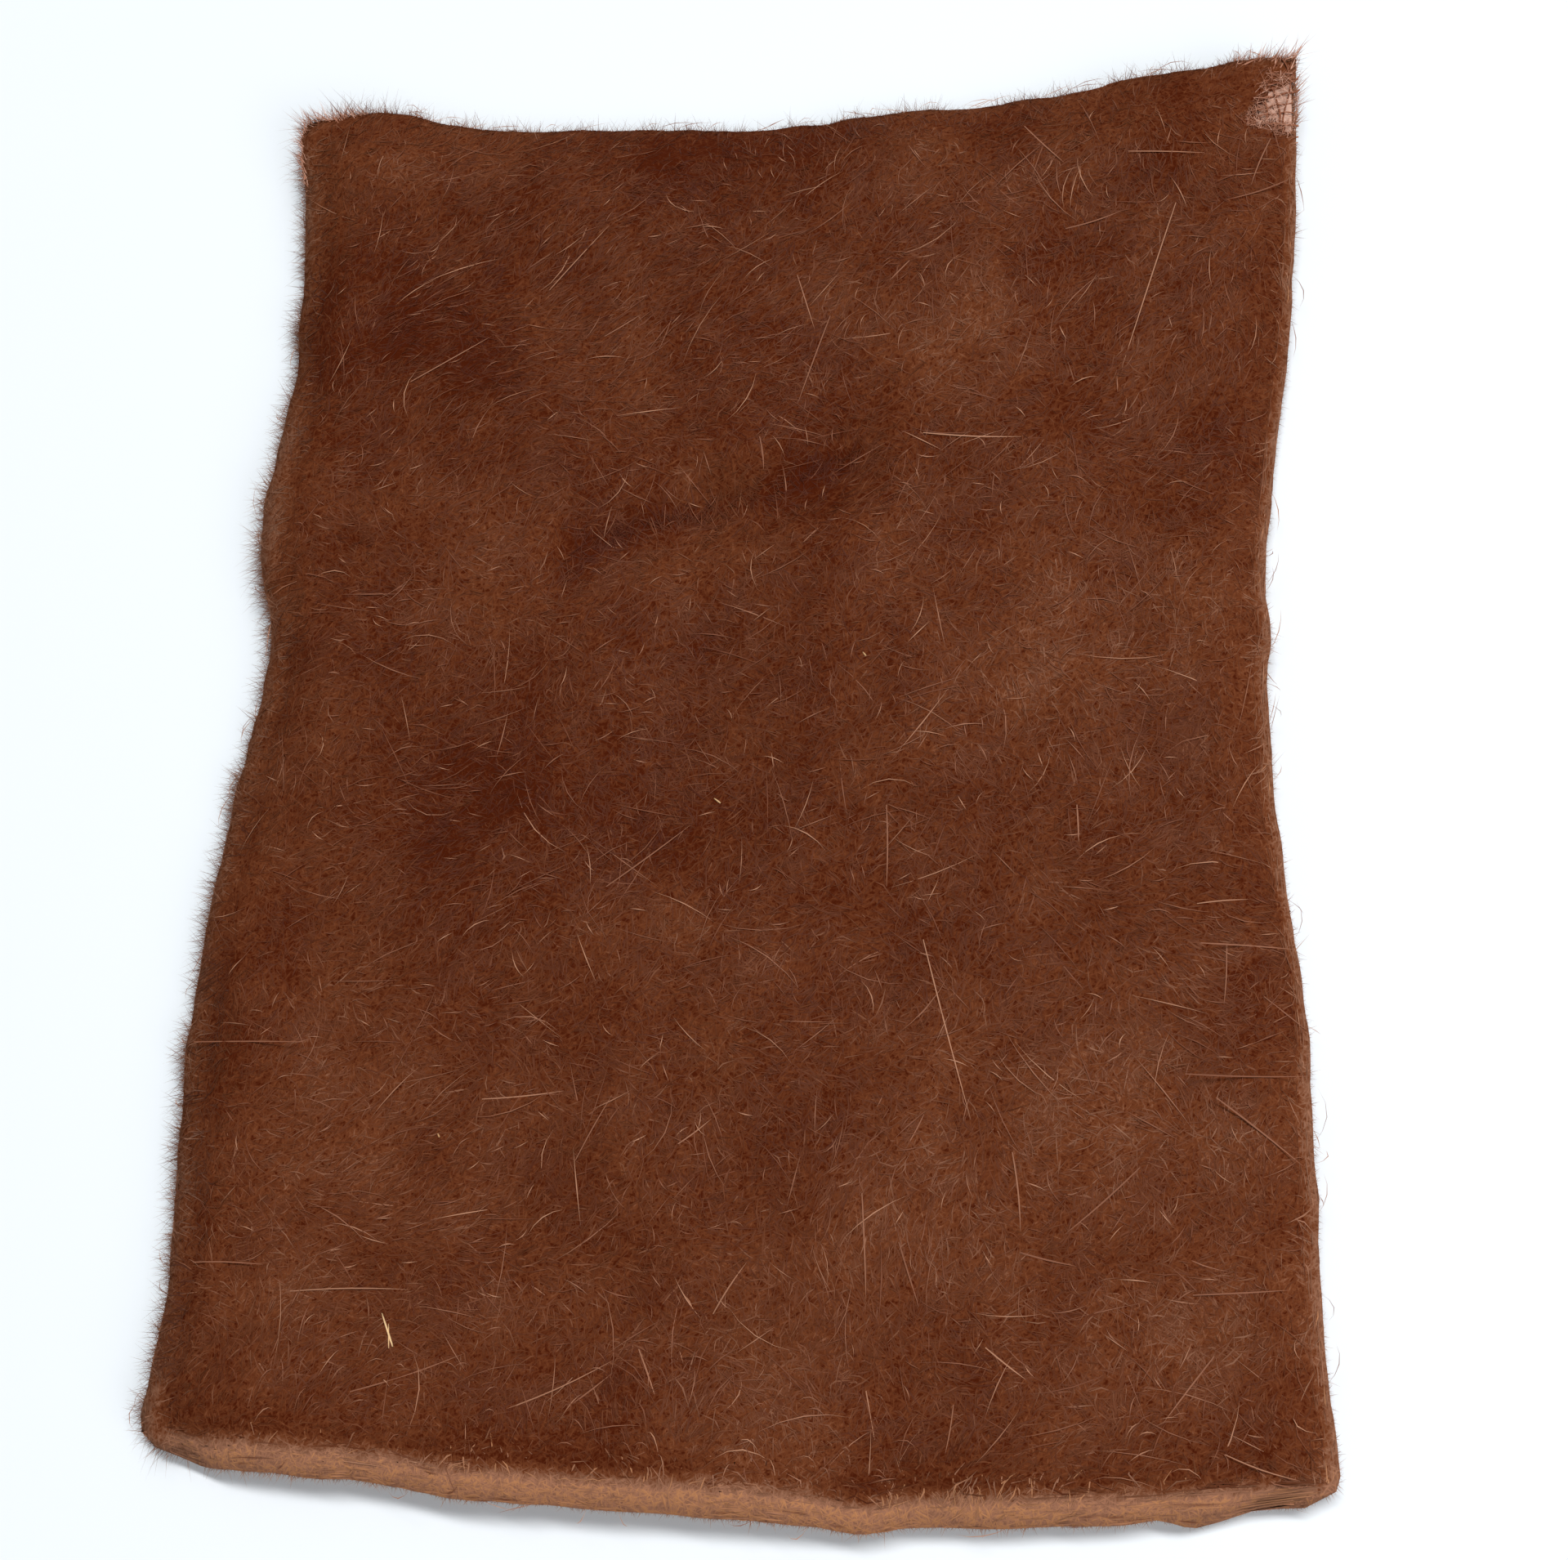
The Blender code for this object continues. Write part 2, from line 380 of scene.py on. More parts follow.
def cloth_piece(name, mesh, material):
    """A piece of the cloth: it rides on the part's one body and takes the hair's finish."""
    mesh.materials.append(material)
    mesh.shade_smooth()
    piece = linked(name, mesh)
    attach(piece, "root")
    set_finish(piece, "rabbit_hair")
    return piece


def joined(name, points, shape, tones, material, facing=None):
    """One mesh object from copies: points has a row of corners for each copy of the template shape.

    A hair takes its shading from the direction it is given in facing, that of the pile's surface.
    """
    faces = shape[1]
    along = shape[0][:, 2]
    copies, corners = points.shape[:2]
    points[..., 2] = np.maximum(points[..., 2], OFF_THE_FLOOR)
    at = (faces.reshape(1, -1) + np.arange(copies)[:, None] * corners).ravel()
    mesh = bpy.data.meshes.new(name)
    mesh.vertices.add(copies * corners)
    mesh.vertices.foreach_set("co", points.astype(np.float32).ravel())
    mesh.loops.add(len(at))
    mesh.loops.foreach_set("vertex_index", at.astype(np.int32))
    mesh.polygons.add(len(at) // 3)
    mesh.polygons.foreach_set("loop_start", np.arange(0, len(at), 3, dtype=np.int32))
    mesh.update(calc_edges=True)
    sideways = np.tile((0, 1, 0.5), len(faces)) * TONE_WIDTH
    upwards = np.tile((0, 0, 1), len(faces)) * MAP_MARGIN / 2
    span = 1 - 3 * MAP_MARGIN
    u = MAP_MARGIN + span * np.clip(tones, 0, 1)[:, None] + sideways
    v = np.broadcast_to(MAP_MARGIN + span * along[faces.ravel()] + upwards, u.shape)
    layer = mesh.uv_layers.new(name="OFBake")
    layer.data.foreach_set("uv", np.stack([u, v], -1).astype(np.float32).ravel())
    piece = cloth_piece(name, mesh, material)
    if facing is not None:
        shaded_as = np.repeat(facing, corners, axis=0).astype(np.float32)
        mesh.normals_split_custom_set_from_vertices(shaded_as)
    print(name, "has", copies, "copies and", len(at) // 3, "triangles")
    return piece


# %% Where each copy's points go
FLATNESS = 0.28


def girth_of(shape, aims, widths, facing):
    """The section of flat hairs, which lie with their broad sides to the cloth as rabbit hair does."""
    side, front = shape[0][:, 0, None], shape[0][:, 1, None]
    across = unit(np.cross(facing, aims))
    square = np.cross(aims, across) * FLATNESS
    girth = across[:, None] * side + square[:, None] * front
    return girth * widths[:, None, None] / 2


def sprouted(shape, roots, aims, lengths, widths, bends, facing):
    """Copies of a template hair: each aims from its root and bends sideways towards its tip."""
    along = shape[0][:, 2, None]
    stem = roots[:, None] + aims[:, None] * lengths[:, None, None] * along
    return stem + bends[:, None] * along**2 + girth_of(shape, aims, widths, facing)


def laid(shape, starts, middles, ends, widths, facing):
    """Copies of a template hair, each on the smooth curve through three places."""
    t = shape[0][:, 2, None]
    stem = starts[:, None] * (1 - t) * (1 - 2 * t) + middles[:, None] * 4 * t * (1 - t)
    stem = stem + ends[:, None] * t * (2 * t - 1)
    return stem + girth_of(shape, unit(ends - starts), widths, facing)


# Not quite upright, so that it is never in line with a path
NEARLY_UP = (0.05, 0.03, 1)


def drawn_along(shape, path, widths):
    """A template's points, bent along a path of points, with a width at each of them."""
    corners = shape[0]
    at = np.arange(len(path))
    along = corners[:, 2] * at[-1]
    tangents = unit(np.gradient(path, axis=0))
    across = unit(np.cross(NEARLY_UP, tangents))
    square = np.cross(tangents, across)

    def between(values):
        return np.stack([np.interp(along, at, column) for column in values.T], 1)

    half = np.interp(along, at, widths)[:, None] / 2
    girth = between(across) * corners[:, :1] + between(square) * corners[:, 1:2]
    return between(path) + girth * half


print("a hair's section is", FLATNESS, "as thick as it is wide")

# %% [markdown]
# ## Dyed rabbit hair
# A rabbit hair is a hollow keratin fibre, about as glossy as matt plastic, and this one was dyed a warm
# brown. Dye takes unevenly: roots stay more orange and the coarse guard hairs are paler. Keratin's IOR
# is about 1.55. The colour comes from the UV map that the copies carry, so each hair keeps one tone.

# %% Nodes and colours


def linear(colour):
    """An sRGB hex colour as the linear RGBA that a shader takes."""
    parts = [int(colour[i : i + 2], 16) / 255 for i in (0, 2, 4)]
    return (*(p / 12.92 if p <= 0.04045 else ((p + 0.055) / 1.055) ** 2.4 for p in parts), 1)


def add_node(material, kind, inputs=(), stops=(), **settings):
    """Adds a node. Inputs are values or other nodes' outputs, and stops are a ramp's colours.

    A mix node has several sockets of one name, so an input is looked up among those that are in use.
    """
    made = material.node_tree.nodes.new(kind)
    for name, value in settings.items():
        setattr(made, name, value)
    in_use = {socket.name: socket for socket in made.inputs if socket.enabled}
    for name, value in dict(inputs).items():
        socket = made.inputs[name] if isinstance(name, int) else in_use[name]
        if isinstance(value, bpy.types.NodeSocket):
            material.node_tree.links.new(value, socket)
        else:
            socket.default_value = value
    for number, (place, colour) in enumerate(stops):
        ramp = made.color_ramp.elements
        element = ramp[number] if number < len(ramp) else ramp.new(place)
        element.position, element.color = place, linear(colour)
    return made


def new_material(name, roughness, ior, gloss=0.06, sheen=0.0):
    """A material whose shader has its plain values set, and that shader.

    Matted fibres hide most of each other's gloss, so it is far below 0.5, that of a smooth surface.
    """
    material = bpy.data.materials.new(name)
    material.use_nodes = True
    shader = material.node_tree.nodes["Principled BSDF"]
    shader.inputs["Roughness"].default_value = roughness
    shader.inputs["IOR"].default_value = ior
    shader.inputs["Specular IOR Level"].default_value = gloss
    shader.inputs["Sheen Weight"].default_value = sheen
    return material, shader


KERATIN_IOR = 1.55
print("shader colours are linear:", [round(c, 3) for c in linear("8C5035")])

# %% Hair, from dark brown to the orange tan of a cut edge, its roots' own tan brightened by painted light
# Each stop is a tone from 0 to 1 and its colour. The pale greyish stops stand partly for painted
# highlights on the hairs.
HAIR_TONES = ((0.0, "431706"), (0.4, "66371F"), (0.7, "845A44"), (0.85, "976850"), (1.0, "AC7650"))


def hair_material(name, tones, shadow):
    """Hair that is darker at its root by the share shadow, and follows the tone in its map."""
    material, shader = new_material(name, roughness=0.55, ior=KERATIN_IOR)
    where = add_node(material, "ShaderNodeUVMap", uv_map="OFBake")
    parts = add_node(material, "ShaderNodeSeparateXYZ", {0: where.outputs[0]})
    tone = add_node(material, "ShaderNodeValToRGB", {0: parts.outputs["X"]}, tones)
    to_tip = {"Value": parts.outputs["Y"], "To Min": 1 - shadow, "To Max": 1.0}
    light = add_node(material, "ShaderNodeMapRange", to_tip).outputs[0]
    lit = {0: tone.outputs["Color"], "Scale": light}
    colour = add_node(material, "ShaderNodeVectorMath", lit, operation="SCALE")
    material.node_tree.links.new(colour.outputs[0], shader.inputs["Base Color"])
    return material


dyed_hair = hair_material("dyed_rabbit_hair", HAIR_TONES, shadow=0.15)
print("hair tones run over", len(HAIR_TONES), "stops")

# %% [markdown]
# ## How the hair lies and where it is lighter
# Hair on a pelt or pile cloth lies over in swirls. It was stroked aside where it was handled, and each
# patch catches the light its own way. Named patches give the main swirls. They also give the lighter and
# darker places, painted into the tone: partly the hair's own tone and partly painted light and shade,
# with painted shade in the dents and the crease. Smooth noise varies them.

# %% Lay and tone, sampled on the grid
# Stroked places in millimetres: (name, x, y, direction in degrees from +X, reach)
LAYS = (
    ("far left", -28, 42, 28, 34),
    ("far middle", 6, 46, 50, 20),
    ("far right", 34, 38, 75, 20),
    ("left bulge", -40, 14, 150, 14),
    ("middle left", -30, -14, 25, 18),
    ("near right", 14, -46, 262, 16),
    ("near left", -30, -46, 20, 20),
    ("right", 38, -20, 350, 16),
)
# Lighter and darker places in millimetres, painted into the tone. The dents and the crease are painted
# shade, and the broad light and dark places are partly painted light and shade and partly the hair's own
# tone: (name, x, y, change of tone, reach)
TONE_AND_SHADE_PATCHES = (
    ("dark, far left", -36, 40, -0.16, 22),
    ("dark band, left", -26, -9, -0.17, 18),
    ("dark band, middle", -6, -10, -0.16, 14),
    ("dent, right", 3, 23, -0.10, 7),
    ("dent, left", -15, 17, -0.10, 7),
    ("crease", -5, 4, -0.12, 9),
    ("tuft beside the parting", -6, 22, 0.10, 5),
    ("dark, far", -8, 56, -0.10, 24),
    ("light, near left", -30, -44, 0.10, 30),
    ("light, near right corner", 38, -48, 0.10, 26),
    ("light, right edge", 42, 8, 0.12, 12),
    ("light, left", -27, 13, 0.12, 9),
    ("light, far right", 20, 39, 0.10, 13),
    ("light, right", 24, 3, 0.13, 16),
    ("light, near right", 30, -32, 0.16, 18),
    ("light, near", 14, -46, 0.16, 15),
    ("light, near edge", 2, -60, 0.10, 16),
)


def noise_on_grid(size, seed):
    """Smooth noise from about -1 to 1 whose lumps are size metres wide."""
    flat = zip(x.ravel() / size, y.ravel() / size)
    values = [noise.noise((a, b, seed)) * 1.6 for a, b in flat]
    return np.array(values).reshape(x.shape)


def near_to(place_x, place_y, reach):
    """1 at a place in millimetres, falling softly to 0 at its reach."""
    away = np.hypot(x / MM - place_x, y / MM - place_y) / reach
    return np.clip(1 - away, 0, 1) ** 2 * (1 + 2 * np.clip(away, 0, 1))


# Between the stroked places the hair lies loosely, in a direction that smooth noise turns
LOOSE_LAY = 0.35
loose_turn = noise_on_grid(16 * MM, 3.1) * 4
aim_x = LOOSE_LAY * np.cos(loose_turn)
aim_y = LOOSE_LAY * np.sin(loose_turn)
for _, place_x, place_y, degrees, reach_mm in LAYS:
    share = near_to(place_x, place_y, reach_mm)
    aim_x = aim_x + share * math.cos(math.radians(degrees))
    aim_y = aim_y + share * math.sin(math.radians(degrees))
lay = np.stack([aim_x, aim_y], -1)
USUAL_TONE = 0.21
tone_and_shade_map = USUAL_TONE + 0.07 * noise_on_grid(11 * MM, 8.2) + 0.08 * noise_on_grid(3.7 * MM, 5.7)
# Each patch adds its change to the map: painted shade in the dents and the crease, and elsewhere partly
# painted light and shade and partly the hair's own tone
for _, place_x, place_y, change, reach_mm in TONE_AND_SHADE_PATCHES:
    tone_and_shade_map = tone_and_shade_map + change * near_to(place_x, place_y, reach_mm)
clumping = noise_on_grid(2.6 * MM, 1.9)
ragged = 0.45 * noise_on_grid(4.2 * MM, 12.4) + 0.3 * noise_on_grid(2.0 * MM, 6.6)
print("the lay is", np.hypot(aim_x, aim_y).mean().round(2), "strong on average")

# %% The parting
# Where the pile was parted, a crease shows: its course in millimetres, its depth and its reach, and the
# painted shade that darkens it
PARTING = ((7.0, 24.6), (1.5, 22.6), (-4.3, 20.3), (-11.5, 18.6), (-16.0, 17.4), (-18.6, 13.9))
PARTING_DEPTH = 0.45 * MM
PARTING_REACH = 1.9 * MM
PARTING_SHADE = -0.2


def from_course(course):
    """How far each grid point lies from a course of points in millimetres."""
    away = np.full(x.shape, math.inf)
    for (x0, y0), (x1, y1) in zip(course, course[1:]):
        run_x, run_y = x1 - x0, y1 - y0
        share = ((x / MM - x0) * run_x + (y / MM - y0) * run_y) / (run_x**2 + run_y**2)
        share = np.clip(share, 0, 1)
        away = np.minimum(away, np.hypot(x / MM - x0 - share * run_x, y / MM - y0 - share * run_y))
    return away * MM


parted = np.clip(1 - from_course(PARTING) / PARTING_REACH, 0, 1)
# Painted shade darkens the crease
tone_and_shade_map = tone_and_shade_map + PARTING_SHADE * parted
print("tones run from", tone_and_shade_map.min().round(2), "to", tone_and_shade_map.max().round(2))

# %% The cut edges: which one is near, and which way is out
CORNER_SHARPNESS = 60
ROUNDED = 2.2 * MM
# How far the hair spreads out over each edge in millimetres, and how tan each edge is: the roots' own tan,
# brightened as painted light that shines through the thin edge hair
SPREAD = {"near": 0.6, "far": 1.6, "left": 1.3, "right": 0.5}
ROOT_TAN_AND_GLOW = {"near": 0.95, "far": 0.2, "left": 0.45, "right": 0.6}
RAGGED_SHARE = 0.25
# How far in the tan starts, as a share of the rounding, how unevenly, and over what share it sets in
TAN_START = {"near": 0.22, "far": 0.5, "left": 0.4, "right": 0.5}
TAN_UNEVEN = 0.12
TAN_SETS_IN = 0.28
# The tone of a cut edge: the roots' tan and painted light through the hair
TAN_AND_GLOW_TONE = 0.97


def by_edge(u, v, near, far, left, right):
    """The nearest edge's value out of four, blended round the corners."""
    weights = np.stack([1 - v, v, 1 - u, u], -1) ** CORNER_SHARPNESS
    return (weights * (near, far, left, right)).sum(-1) / weights.sum(-1)


def inward(u, v):
    """How far a place lies from the nearest cut edge, in metres."""
    return np.minimum(np.minimum(u, 1 - u) * width, np.minimum(v, 1 - v) * length)


def rounding(u, v):
    """0 inside and 1 at the cut edge, where the pile rounds off."""
    return np.clip(1 - inward(u, v) / ROUNDED, 0, 1)


def along_cloth(sideways, lengthways, u, v):
    """A level direction, laid along the curled cloth."""
    level = np.stack([sideways, lengthways, 0 * u], -1)
    square = unit(read(normal, u, v))
    return level - square * (level * square).sum(-1, keepdims=True)


def outward_at(u, v):
    """The direction along the cloth and out over the nearest cut edge."""
    sideways = np.sign(u - 0.5) * np.abs(2 * u - 1) ** CORNER_SHARPNESS
    lengthways = np.sign(v - 0.5) * np.abs(2 * v - 1) ** CORNER_SHARPNESS
    return unit(along_cloth(sideways, lengthways, u, v))


def spread_at(u, v):
    """How far, and which way, the hair has moved out over the cut. Corners stay sharp."""

    def beside(away):
        return np.clip(1 - away / ROUNDED, 0, 1) * MM

    sideways = SPREAD["right"] * beside((1 - u) * width) - SPREAD["left"] * beside(u * width)
    lengthways = SPREAD["far"] * beside((1 - v) * length) - SPREAD["near"] * beside(v * length)
    return along_cloth(sideways, lengthways, u, v) * (1 + RAGGED_SHARE * read(ragged, u, v))[:, None]


def tone_and_painted_light_at(u, v):
    """The hair's tone with its painted light and shade: the map's, turning at a cut edge to the tan of the
    roots, brightened as painted light through the thin hair.
    """
    start = by_edge(u, v, **TAN_START) + TAN_UNEVEN * read(ragged, u, v)
    tan = by_edge(u, v, **ROOT_TAN_AND_GLOW) * np.clip((rounding(u, v) - start) / TAN_SETS_IN, 0, 1)
    return read(tone_and_shade_map, u, v) * (1 - tan) + TAN_AND_GLOW_TONE * tan


print("the hair spreads over the edges by", SPREAD, "mm")

# %% [markdown]
# ## Ground cloth
# The hair is rooted in a thin plain weave of dark dyed cotton. It is one sheet, cut with the hair, and
# it follows the underside of the slab, with its curled edges. A grid that is extruded gives a closed
# sheet, and each point is then put on the underside. At one worn corner only fine fuzz is left in the
# gaps of the weave and the paper shines through it. The closed sheet is painted pale there as that light
# of the paper through the gaps, and single threads lie on it.

# %% The sheet and its weave
SHEET_THICK = 0.3 * MM
THREAD_PITCH = 1.07 * MM
# A wave texture draws one band in 2 pi / 20 of a unit at a scale of 1
BANDS_A_METRE = 2 * math.pi / THREAD_PITCH / 20
WEAVE_TONES = ((0.3, "5E3422"), (0.75, "A8745A"))
# The worn spot's pale colour is painted light: the lit paper seen through the open weave
BARED_BACKLIT_COLOUR = "C79F8D"
# The worn spot in millimetres: its middle and its half width and half length
WORN_PLACE = (48.9, 61.2)
WORN_SIZE = (2.2, 2.2)
# How far from the worn spot the hair has its full depth, in sizes of the spot, and its depth beside it
GROWN_BACK = 0.9
LEAST_GROWN = 0.25
# The level of a face counts most in the order of a slab's faces, then its v, then its u
SORTED_BY = Vector((1, 1e3, 1e6))


def slab_on_grid(cells_across, cells_along, keep):
    """A closed slab one unit each way, made of the grid's cells that keep(u, v) leaves."""
    bm = bmesh.new()
    bmesh.ops.create_grid(bm, x_segments=cells_across, y_segments=cells_along, size=0.5)
    bmesh.ops.translate(bm, verts=bm.verts[:], vec=(0.5, 0.5, 0))
    centres = np.array([face.calc_center_median() for face in bm.faces])
    kept = keep(centres[:, 0], centres[:, 1])
    gone = [face for face, stays in zip(bm.faces, kept) if not stays]
    bmesh.ops.delete(bm, geom=gone, context="FACES")
    extruded = bmesh.ops.extrude_face_region(bm, geom=bm.faces[:], use_keep_orig=True)
    for item in extruded["geom"]:
        if isinstance(item, bmesh.types.BMVert):
            item.co.z = 1
    bmesh.ops.recalc_face_normals(bm, faces=bm.faces[:])
    # The extrusion lists the side faces in another order at each run, so all are sorted by place
    bm.faces.sort(key=lambda face: face.calc_center_median().dot(SORTED_BY))
    return bm


def shaped(bm, place):
    """Moves a unit slab's points to place(u, v, height), off the floor, and returns u and v."""
    u, v, height = np.clip(np.array([vert.co for vert in bm.verts]).T, 0, 1)
    points = place(u, v, height)
    points[:, 2] = np.maximum(points[:, 2], 0)
    for vert, point in zip(bm.verts, points):
        vert.co = point
    return u, v


def mesh_of(name, bm):
    """A mesh from a bmesh, which is then freed."""
    mesh = bpy.data.meshes.new(name)
    bm.to_mesh(mesh)
    bm.free()
    return mesh


def keep_values(piece, name, values):
    """Stores a value for each point, which a material reads by its name."""
    attribute = piece.data.attributes.new(name, "FLOAT", "POINT")
    attribute.data.foreach_set("value", values.astype(np.float32))


def woven_material():
    """Plain weave of dyed cotton: matt, with a shadow between the threads. Cotton's IOR is 1.53."""
    material, shader = new_material("woven_cotton_ground", roughness=0.9, ior=1.53, sheen=0.2)
    where = add_node(material, "ShaderNodeTexCoord")
    bands = {0: where.outputs["Object"], "Scale": BANDS_A_METRE, "Distortion": 0.4}
    weft = add_node(material, "ShaderNodeTexWave", bands, bands_direction="X").outputs["Fac"]
    warp = add_node(material, "ShaderNodeTexWave", bands, bands_direction="Y").outputs["Fac"]
    weave = add_node(material, "ShaderNodeMath", {0: weft, 1: warp}, operation="MAXIMUM")
    woven = add_node(material, "ShaderNodeValToRGB", {0: weave.outputs[0]}, WEAVE_TONES)
    # Painted light of the paper through the worn spot's weave
    bared_backlit = add_node(material, "ShaderNodeAttribute", attribute_name="bared_backlit")
    mixed = {"Factor": bared_backlit.outputs["Fac"], "A": woven.outputs["Color"], "B": linear(BARED_BACKLIT_COLOUR)}
    colour = add_node(material, "ShaderNodeMix", mixed, data_type="RGBA")
    relief = add_node(material, "ShaderNodeBump", {"Height": weave.outputs[0], "Distance": 0.1 * MM})
    material.node_tree.links.new(colour.outputs["Result"], shader.inputs["Base Color"])
    material.node_tree.links.new(relief.outputs[0], shader.inputs["Normal"])
    return material


def from_worn_spot(u, v):
    """How far a place lies from the worn spot's middle: 1 is the spot's uneven rim."""
    x, y = place_of(u, v)
    across, along = (x / MM - WORN_PLACE[0]) / WORN_SIZE[0], (y / MM - WORN_PLACE[1]) / WORN_SIZE[1]
    turn = np.arctan2(along, across)
    return np.hypot(across, along) * (1 + 0.16 * np.sin(3 * turn + 1) + 0.1 * np.sin(5 * turn))


def off_worn_spot(u, v):
    """Shares u and v, moved out to the worn spot's rim where they lie on it."""
    away = np.maximum(from_worn_spot(u, v), 0.05)
    push = np.maximum(1 / away, 1)
    x, y = place_of(u, v)
    middle_x, middle_y = WORN_PLACE[0] * MM, WORN_PLACE[1] * MM
    u, v = share_of(middle_x + (x - middle_x) * push, middle_y + (y - middle_y) * push)
    return np.clip(u, 0, 1), np.clip(v, 0, 1)


def not_worn(u, v):
    """Whether hair is left."""
    return from_worn_spot(u, v) > 1


def grown(u, v):
    """How much of the hair's depth is left: less round the worn spot."""
    back = np.clip((from_worn_spot(u, v) - 1) / GROWN_BACK, 0, 1)
    return LEAST_GROWN + (1 - LEAST_GROWN) * back**2 * (3 - 2 * back)


def above_underside(u, v, metres):
    """A point this many metres above the cloth's underside."""
    return on_cloth(u, v, metres / read(depth, u, v))


def everywhere(u, v):
    """Keeps every cell of a grid."""
    return np.ones(len(u), bool)


sheet = slab_on_grid(round(width / THREAD_PITCH), round(length / THREAD_PITCH), everywhere)
u, v = shaped(sheet, lambda u, v, height: above_underside(u, v, height * SHEET_THICK))
ground_cloth = cloth_piece("ground_cloth", mesh_of("ground_cloth", sheet), woven_material())
keep_values(ground_cloth, "bared_backlit", np.clip((1.5 - from_worn_spot(u, v)) / 0.4, 0, 1))
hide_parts("hair_pile_cloth")
print("ground_cloth has", len(ground_cloth.data.polygons), "faces")

# %% [markdown]
# ## Underfur
# Under the hairs that show lies a dense matted wool. It is too fine to build, so one closed lumpy slab
# stands for it at nine tenths of the pile's depth, and the hairs lie on its skin. It spreads a little
# over the cut, as pile does where nothing holds it back. Its fibres are a texture: noise that is
# stretched in four directions, of which the lightest wins, gives strands that cross, with pits between
# them that are painted dark as the shade deep in the wool. A hair texture of thin curves would cost
# millions of triangles and look the same.

# %% The underfur slab
UNDERFUR_LEVEL = 0.9
# How far the pile's top drops at each edge, as a share of its depth
ROUND_DROP = {"near": 0.5, "far": 0.28, "left": 0.28, "right": 0.3}
UNDERFUR_CELL = 1.05 * MM
UNDERFUR_LUMPS = 0.2 * MM
LUMP_SIZE = 1.3 * MM
UNDERFUR_CLUMP = 0.6 * MM
STRAND_LONG = 1.3 * MM
STRAND_WIDE = 0.2 * MM
STRAND_TURNS = (22, 58, 100, 155)
STRAND_SWAY = 0.9 * MM
SWAY_SIZE = 3 * MM
# The usual value of the lightest of four noises, and how strongly it and the clumps show
STRAND_LEVEL = 0.6
STRAND_CONTRAST = 1.3
CLUMP_CONTRAST = 0.45
# Pits of painted shade between the strands: their size and how much darker they are
PIT_SIZE = 0.38 * MM
PIT_SHADE = 0.24
WOOL_GAP = 0.05 * MM
# The foot of the cut side spreads nearly as far as its top: its share
FOOT_SPREADS = 0.85


def skin(u, v, sunk=0.0):
    """The underfur's skin, sunk by some metres: it rounds off and spreads over the cut edges."""
    level = (UNDERFUR_LEVEL - by_edge(u, v, **ROUND_DROP) * rounding(u, v) ** 2) * grown(u, v)
    sunk = sunk + PARTING_DEPTH * read(parted, u, v)
    return on_cloth(u, v, level - sunk / read(depth, u, v)) + spread_at(u, v)


def lumpy_skin(u, v):
    """The skin with its small lumps, which are too fine for the CAD model."""
    top = skin(u, v)
    lumps = [noise.noise(Vector(point) / LUMP_SIZE) for point in top]
    top[:, 2] += UNDERFUR_LUMPS * np.array(lumps) * (1 - rounding(u, v))
    return top


cells_across, cells_along = round(width / UNDERFUR_CELL), round(length / UNDERFUR_CELL)
skin_u, skin_v = np.meshgrid(np.linspace(0, 1, cells_across + 1), np.linspace(0, 1, cells_along + 1))
skin_grid = lumpy_skin(skin_u.ravel(), skin_v.ravel()).reshape(*skin_u.shape, 3)


def wool_place(u, v, height):
    """The wool stands on the sheet, and its top is the lumpy skin. It is open at the worn spot."""
    worn = from_worn_spot(u, v) < 1
    u[worn], v[worn] = off_worn_spot(u[worn], v[worn])
    top = read(skin_grid, u, v)
    bottom = above_underside(u, v, SHEET_THICK + WOOL_GAP) + FOOT_SPREADS * spread_at(u, v)
    return bottom + (top - bottom) * height[:, None]


def strands_in(material, where, turn):
    """Noise that is stretched along one direction in the plane of the cloth."""
    stretch = {"Rotation": (0, 0, math.radians(turn)), "Scale": (STRAND_LONG, STRAND_WIDE, 1)}
    placing = {"Vector": where, **stretch}
    turned = add_node(material, "ShaderNodeMapping", placing, vector_type="TEXTURE").outputs[0]
    strand = {"Vector": turned, "Scale": 1.0, "Detail": 2}
    return add_node(material, "ShaderNodeTexNoise", strand).outputs["Fac"]


def swayed(material, where):
    """Places moved about by broad noise, so that what is drawn on them bends."""
    broad = {"Vector": where, "Scale": 1 / SWAY_SIZE, "Detail": 1}
    sway = add_node(material, "ShaderNodeTexNoise", broad).outputs["Color"]
    halved = {0: sway, 1: (0.5, 0.5, 0.5)}
    centred = add_node(material, "ShaderNodeVectorMath", halved, operation="SUBTRACT").outputs[0]
    strength = {0: centred, "Scale": STRAND_SWAY}
    scaled = add_node(material, "ShaderNodeVectorMath", strength, operation="SCALE").outputs[0]
    return add_node(material, "ShaderNodeVectorMath", {0: where, 1: scaled}).outputs[0]


